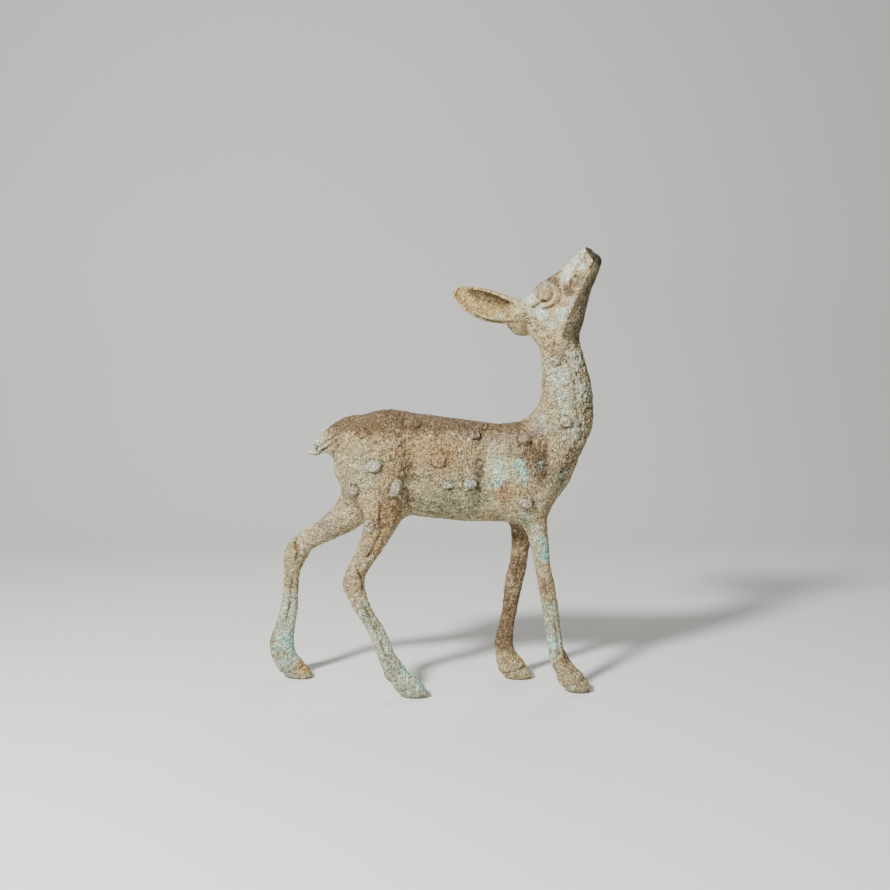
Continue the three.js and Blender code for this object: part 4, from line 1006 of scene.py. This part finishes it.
# below the jaw's edge the head is painted dark as shade; the muzzle's end is painted dark, partly as
# its own colour and partly as painted shade
jaw_edge = -4.5 + 0.258 * head_spot[:, 0]
painted_jaw_shade = smooth_step(0.35, -0.35, head_spot[:, 2] - jaw_edge) * head_share
painted_jaw_shade *= smooth_step(-4.5, -2.5, head_spot[:, 0])
muzzle_end_dark_and_shade = smooth_step(-0.25, 0.3, head_spot[:, 0] - 14.6 - 0.33 * head_spot[:, 2])
face = head_share * (1 - ear) * (1 - painted_jaw_shade) * (1 - muzzle_end_dark_and_shade) * smooth_step(-5, -2, head_spot[:, 0])
for name, stains in HEAD_STAINS.items():
    for x, z, reach, strength in stains:
        away = np.hypot(head_spot[:, 0] - x, head_spot[:, 2] - z) / reach
        maps[name] = np.maximum(maps[name], face * strength * np.exp(-away ** 2 / 1.4))
maps["pale"] = np.maximum(maps["pale"], face * 0.3)
# the painted shade under the jaw, and the muzzle's end with its own dark colour and painted shade, join
# the dark map
maps["dark"] = np.maximum(maps["dark"], np.maximum(painted_jaw_shade, muzzle_end_dark_and_shade * 1.5))

# %% Grey the lower legs, brown the back, rub the spots and soil the soles
body_spot = in_hundredths(places())
low = smooth_step(30, 17, body_spot[:, 2])
brown_leg = smooth_step(10, 13, body_spot[:, 0]) * smooth_step(23, 20, body_spot[:, 0])
brown_leg *= smooth_step(0, 2, body_spot[:, 1])
brown_leg = np.maximum(brown_leg, smooth_step(24, 27, body_spot[:, 0]))
grey = low * (1 - 0.85 * brown_leg) * (1 - np.clip(1.2 * maps["ochre"], 0, 1))
print("lower legs greyed on", round(100 * float((grey > 0.5).mean()), 1), "% of the points")
maps["green"] = np.maximum(maps["green"], 0.55 * grey)
maps["pale"] = np.maximum(maps["pale"], 0.34 * grey)
maps["mint"] = np.maximum(maps["mint"], 0.36 * grey)
top_line = smooth_step(56.5, 60.5, body_spot[:, 2]) * smooth_step(20, 16, body_spot[:, 0])
top_line *= 1 - head_share
maps["brown"] = np.maximum(maps["brown"], 0.85 * top_line)
maps["brown"] = np.maximum(maps["brown"], 0.9 * low * brown_leg * smooth_step(5, 9, body_spot[:, 2]))
maps["pale"] = np.maximum(maps["pale"], 0.55 * rubbed_spots)
maps["lilac"] = np.maximum(maps["lilac"], 0.85 * rubbed_spots)
sole = smooth_step(1.1, 0.3, body_spot[:, 2])
maps["dark"] = np.maximum(maps["dark"], 0.62 * sole)
print("soles soiled on", round(100 * float((sole > 0.5).mean()), 1), "% of the points")

# %% Add the ears' own colours and the painted shade in their scoops
# painted shadow of the upper rim over the top of each scoop, and a painted shadow line along the
# scoop's edge
scoop_top_shadow = scoop * smooth_step(-0.4, 1.0, ear_height) * smooth_step(4.9, 4.2, ear_along)
scoop_edge_shadow = np.clip(4 * scoop * (1 - scoop), 0, 1)
maps["ochre"] = np.maximum(maps["ochre"], np.maximum(0.75 * scoop, 0.55 * ear))
inner_end = scoop * smooth_step(1.6, 0.8, ear_along)
maps["dark"] = np.maximum(maps["dark"], np.maximum(0.95 * scoop_top_shadow, 0.6 * inner_end))
maps["dark"] = np.maximum(maps["dark"], 0.8 * scoop_edge_shadow)
# the rims made paler, partly in their own colour and partly as a painted highlight
maps["pale"] = np.maximum(maps["pale"], 0.3 * ear_rim)
MINT_DAB = np.array([-7.4, -6.4, 8.3])
DAB_REACH = 1.2
from_dab = np.linalg.norm(head_spot - MINT_DAB, axis=1)
maps["mint"] = np.maximum(maps["mint"], ear * np.exp(-(from_dab / DAB_REACH) ** 2))
keep("hollow", hollow - 0.12 * scoop)
for name, values in maps.items():
    keep(name, values)
keep("calm", np.maximum(head_share, ear))
print("scoops reach a darkness of", round(float(maps["dark"][scoop > 0.9].max()), 2))

# %% [markdown]
# ## The patina
# Bare cast aluminium is a bright grey, but decades outdoors turned this one into layers: a matt beige
# film with brown where the old paint held on, grey-green dust low on the belly, chalky white on the
# rubbed places and mint spots of oxide. The material mixes those colours one after another. Each mix
# is driven by an attribute of the mesh and by noise on Object coordinates, so that no border is clean.
# Sand grain comes last: fine noise that darkens and lightens all of it, and a bump to match.

# %% Build the patina material
finish.use_nodes = True
nodes, links = finish.node_tree.nodes, finish.node_tree.links
nodes.clear()
output = nodes.new("ShaderNodeOutputMaterial")
skin_shader = nodes.new("ShaderNodeBsdfPrincipled")
links.new(skin_shader.outputs["BSDF"], output.inputs["Surface"])
where = nodes.new("ShaderNodeTexCoord").outputs["Object"]


def noise(scale, detail=4.0, roughness=0.6):
    node = nodes.new("ShaderNodeTexNoise")
    node.inputs["Scale"].default_value = scale
    node.inputs["Detail"].default_value = detail
    node.inputs["Roughness"].default_value = roughness
    links.new(where, node.inputs["Vector"])
    return node.outputs["Fac"]


def attribute(name):
    node = nodes.new("ShaderNodeAttribute")
    node.attribute_name = name
    return node.outputs["Fac"]


def sum_of(a, b, weight=1.0):
    """a plus weight times b."""
    node = nodes.new("ShaderNodeMath")
    node.operation = "MULTIPLY_ADD"
    links.new(b, node.inputs[0])
    node.inputs[1].default_value = weight
    links.new(a, node.inputs[2])
    return node.outputs[0]


def between(value, low, high, top=1.0):
    """0 below low, rising to top at high."""
    node = nodes.new("ShaderNodeMapRange")
    node.interpolation_type = "SMOOTHSTEP"
    node.inputs["From Min"].default_value = low
    node.inputs["From Max"].default_value = high
    node.inputs["To Max"].default_value = top
    links.new(value, node.inputs["Value"])
    return node.outputs["Result"]


def layer(under, colour, share):
    """A colour laid over what is under it."""
    node = nodes.new("ShaderNodeMix")
    node.data_type = "RGBA"
    links.new(share, node.inputs["Factor"])
    if isinstance(under, tuple):
        node.inputs[6].default_value = (*under, 1)
    else:
        links.new(under, node.inputs[6])
    node.inputs[7].default_value = (*colour, 1)
    return node.outputs[2]


def grained(under, value, darkest, lightest):
    """The colour under it made darker and lighter by a value from 0 to 1, less so on the head."""
    levels = nodes.new("ShaderNodeMapRange")
    levels.inputs["To Min"].default_value = darkest
    levels.inputs["To Max"].default_value = lightest
    links.new(value, levels.inputs["Value"])
    node = nodes.new("ShaderNodeMix")
    node.data_type = "RGBA"
    node.blend_type = "MULTIPLY"
    links.new(between(attribute("calm"), 2.8, 0.0), node.inputs["Factor"])
    links.new(under, node.inputs[6])
    links.new(levels.outputs["Result"], node.inputs[7])
    return node.outputs[2]


def linear(red, green, blue):
    """A colour as read by eye, 0 to 255, for the shader."""
    return tuple(((value / 255 + 0.055) / 1.055) ** 2.4 for value in (red, green, blue))


BEIGE = linear(184, 171, 132)
TAN = linear(164, 137, 96)
BROWN = linear(96, 78, 54)
RUST = linear(160, 120, 82)
GREEN_GREY = linear(126, 132, 100)
LILAC = linear(150, 134, 122)
CHALK = linear(216, 224, 202)
MINT = linear(150, 212, 184)
MINT_GREY = linear(180, 204, 184)
OCHRE = linear(178, 150, 94)
# dark brown for dirt in hollows and dark stains, and for painted shade under the jaw, the throat and
# the belly, at the muzzle's end, in the flank's valleys and in the ears' scoops
DIRT_AND_SHADE = linear(50, 42, 30)
UMBER = linear(112, 88, 60)

broad = noise(34, 3)
middle = noise(110, 4, 0.7)
speckle = noise(330, 3, 0.75)
hollow_at = attribute("hollow")

colour = layer(BEIGE, TAN, between(sum_of(broad, middle, 0.8), 0.78, 1.02, 0.7))
colour = layer(colour, GREEN_GREY, between(sum_of(noise(19, 3), middle, 0.6), 0.8, 1.0, 0.4))
colour = layer(colour, GREEN_GREY, between(sum_of(attribute("green"), middle, 1.2), 0.85, 1.35, 0.8))
colour = layer(colour, TAN, between(sum_of(attribute("warm"), middle, 1.1), 0.75, 1.3, 0.8))
colour = layer(colour, RUST, between(sum_of(attribute("warm"), noise(75, 4), 1.6), 1.25, 1.75, 0.6))
colour = layer(colour, LILAC, between(sum_of(attribute("lilac"), middle, 1.3), 0.95, 1.35, 0.7))
colour = layer(colour, OCHRE, between(sum_of(attribute("ochre"), middle, 0.9), 0.8, 1.25, 0.9))
# the pale map also carries a painted highlight on the face and, in part, on the ears' rims
colour = layer(colour, CHALK, between(sum_of(attribute("pale"), middle, 1.6), 1.0, 1.65, 0.62))
# the brown map also carries painted shade in the valleys behind the ribs and the shoulder
colour = layer(colour, UMBER, between(sum_of(attribute("brown"), middle, 1.4), 0.95, 1.55, 0.9))
# the dark map holds dark stains and soiled soles, and painted shade under the jaw, the throat and the
# belly, in the flank's valleys and in the ears' scoops
colour = layer(colour, DIRT_AND_SHADE, between(sum_of(attribute("dark"), middle, 0.9), 0.75, 1.5, 0.7))
# only the muzzle's end reaches this layer: its own dark colour deepened by painted shade
colour = layer(colour, DIRT_AND_SHADE, between(attribute("dark"), 1.05, 1.4, 0.8))
colour = layer(colour, BROWN, between(sum_of(hollow_at, speckle, 1.4), 1.2, 1.5, 0.7))
colour = layer(colour, DIRT_AND_SHADE, between(sum_of(hollow_at, middle, 0.4), 0.86, 1.2, 0.55))
colour = layer(colour, BROWN, between(sum_of(attribute("cut"), middle, 0.5), 0.42, 0.85, 0.95))
minty = sum_of(attribute("mint"), noise(120, 5, 0.78), 1.9)
colour = layer(colour, MINT_GREY, between(minty, 1.2, 1.6, 0.7))
colour = layer(colour, MINT, between(minty, 1.62, 1.82, 0.95))
colour = grained(colour, between(noise(400, 3, 0.8), 0.36, 0.64), 0.42, 1.5)
colour = grained(colour, between(noise(170, 3, 0.7), 0.38, 0.62), 0.7, 1.2)
colour = layer(colour, CHALK, between(sum_of(noise(340, 2, 0.8), broad, 0.3), 0.76, 0.88, 0.5))
colour = layer(colour, BROWN, between(noise(380, 2, 0.8), 0.6, 0.7, 0.7))
links.new(colour, skin_shader.inputs["Base Color"])
skin_shader.inputs["Metallic"].default_value = 0.15
skin_shader.inputs["Specular IOR Level"].default_value = 0.3
rough_at = between(middle, 0.35, 0.7, 0.25)
rough_base = nodes.new("ShaderNodeMath")
rough_base.operation = "ADD"
rough_base.inputs[1].default_value = 0.6
links.new(rough_at, rough_base.inputs[0])
links.new(rough_base.outputs[0], skin_shader.inputs["Roughness"])

grain_height = sum_of(noise(360, 2, 0.7), noise(180, 2, 0.7), 0.8)
bump = nodes.new("ShaderNodeBump")
links.new(between(attribute("calm"), 2.8, -0.4), bump.inputs["Strength"])
bump.inputs["Distance"].default_value = 0.005
links.new(grain_height, bump.inputs["Height"])
links.new(bump.outputs["Normal"], skin_shader.inputs["Normal"])
print("patina mixes", sum(node.type == "MIX" for node in nodes), "layers")

# %% Give the casting its finish and put it in place of the solid
clay.data.materials.clear()
clay.data.materials.append(finish)
for polygon in clay.data.polygons:
    polygon.use_smooth = True
skin = places()
skin[:, 2] = np.maximum(skin[:, 2], 0.0)
put_places(skin)
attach(clay, "root")
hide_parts("deer")
triangles = sum(len(polygon.vertices) - 2 for polygon in clay.data.polygons)
print("casting has", triangles, "triangles")

# %% [markdown]
# ## The studio
# A plain pale floor curves up behind the fawn. A large soft light from the upper left is the main one,
# with weak ones from the right and above, as a product photographer would set them. The camera stands
# where the photograph was taken from: a little above the middle of the fawn, square to its right side.

# %% Floor, lights and camera
def studio_floor():
    profile = [(-3.0, 0.0), (1.2, 0.0)]
    for step in range(1, 13):
        angle = math.radians(90 * step / 12)
        profile.append((1.2 + 0.8 * math.sin(angle), 0.8 - 0.8 * math.cos(angle)))
    profile.append((2.0, 4.0))
    corners = [(x, y, z) for y, z in profile for x in (-4.0, 4.0)]
    faces = [(2 * i, 2 * i + 1, 2 * i + 3, 2 * i + 2) for i in range(len(profile) - 1)]
    mesh = bpy.data.meshes.new("studio_floor")
    mesh.from_pydata(corners, [], faces)
    for polygon in mesh.polygons:
        polygon.use_smooth = True
    floor = bpy.data.objects.new("studio_floor", mesh)
    bpy.context.scene.collection.objects.link(floor)
    paper = bpy.data.materials.new("pale_paper")
    paper.use_nodes = True
    shader = paper.node_tree.nodes["Principled BSDF"]
    shader.inputs["Base Color"].default_value = (0.72, 0.72, 0.70, 1)
    shader.inputs["Roughness"].default_value = 0.9
    mesh.materials.append(paper)


def soft_light(name, place, aim, size, power):
    lamp = bpy.data.lights.new(name, "AREA")
    lamp.shape = "DISK"
    lamp.size = size
    lamp.energy = power
    light = bpy.data.objects.new(name, lamp)
    light.location = place
    light.rotation_euler = (Vector(aim) - Vector(place)).to_track_quat("-Z", "Y").to_euler()
    bpy.context.scene.collection.objects.link(light)


studio_floor()
MIDDLE_OF_FAWN = (0.0, -0.03, 0.33)
soft_light("main_light", (-1.05, -1.45, 1.6), MIDDLE_OF_FAWN, 0.32, 113)
soft_light("side_light", (1.6, -1.1, 0.7), MIDDLE_OF_FAWN, 1.2, 3)
soft_light("back_light", (0.3, 1.1, 1.6), MIDDLE_OF_FAWN, 0.8, 8)
world = bpy.data.worlds.new("studio_air")
world.use_nodes = True
world.node_tree.nodes["Background"].inputs["Color"].default_value = (1.0, 0.98, 0.94, 1)
world.node_tree.nodes["Background"].inputs["Strength"].default_value = 0.18
bpy.context.scene.world = world

SENSOR_WIDTH = 36.0
camera_data = bpy.data.cameras.new("camera")
camera_data.sensor_width = SENSOR_WIDTH
camera_data.lens = SENSOR_WIDTH * 1099 / 890
camera = bpy.data.objects.new("camera", camera_data)
TURN = math.radians(-2.31)
PITCH = math.radians(4.02)
camera.location = figure_place(250 * math.sin(TURN), -250 * math.cos(TURN), 73.5)
camera.rotation_euler = (math.pi / 2 - PITCH, 0, TURN)
bpy.context.scene.collection.objects.link(camera)
bpy.context.scene.camera = camera
print("camera stands at", [round(number, 3) for number in camera.location])
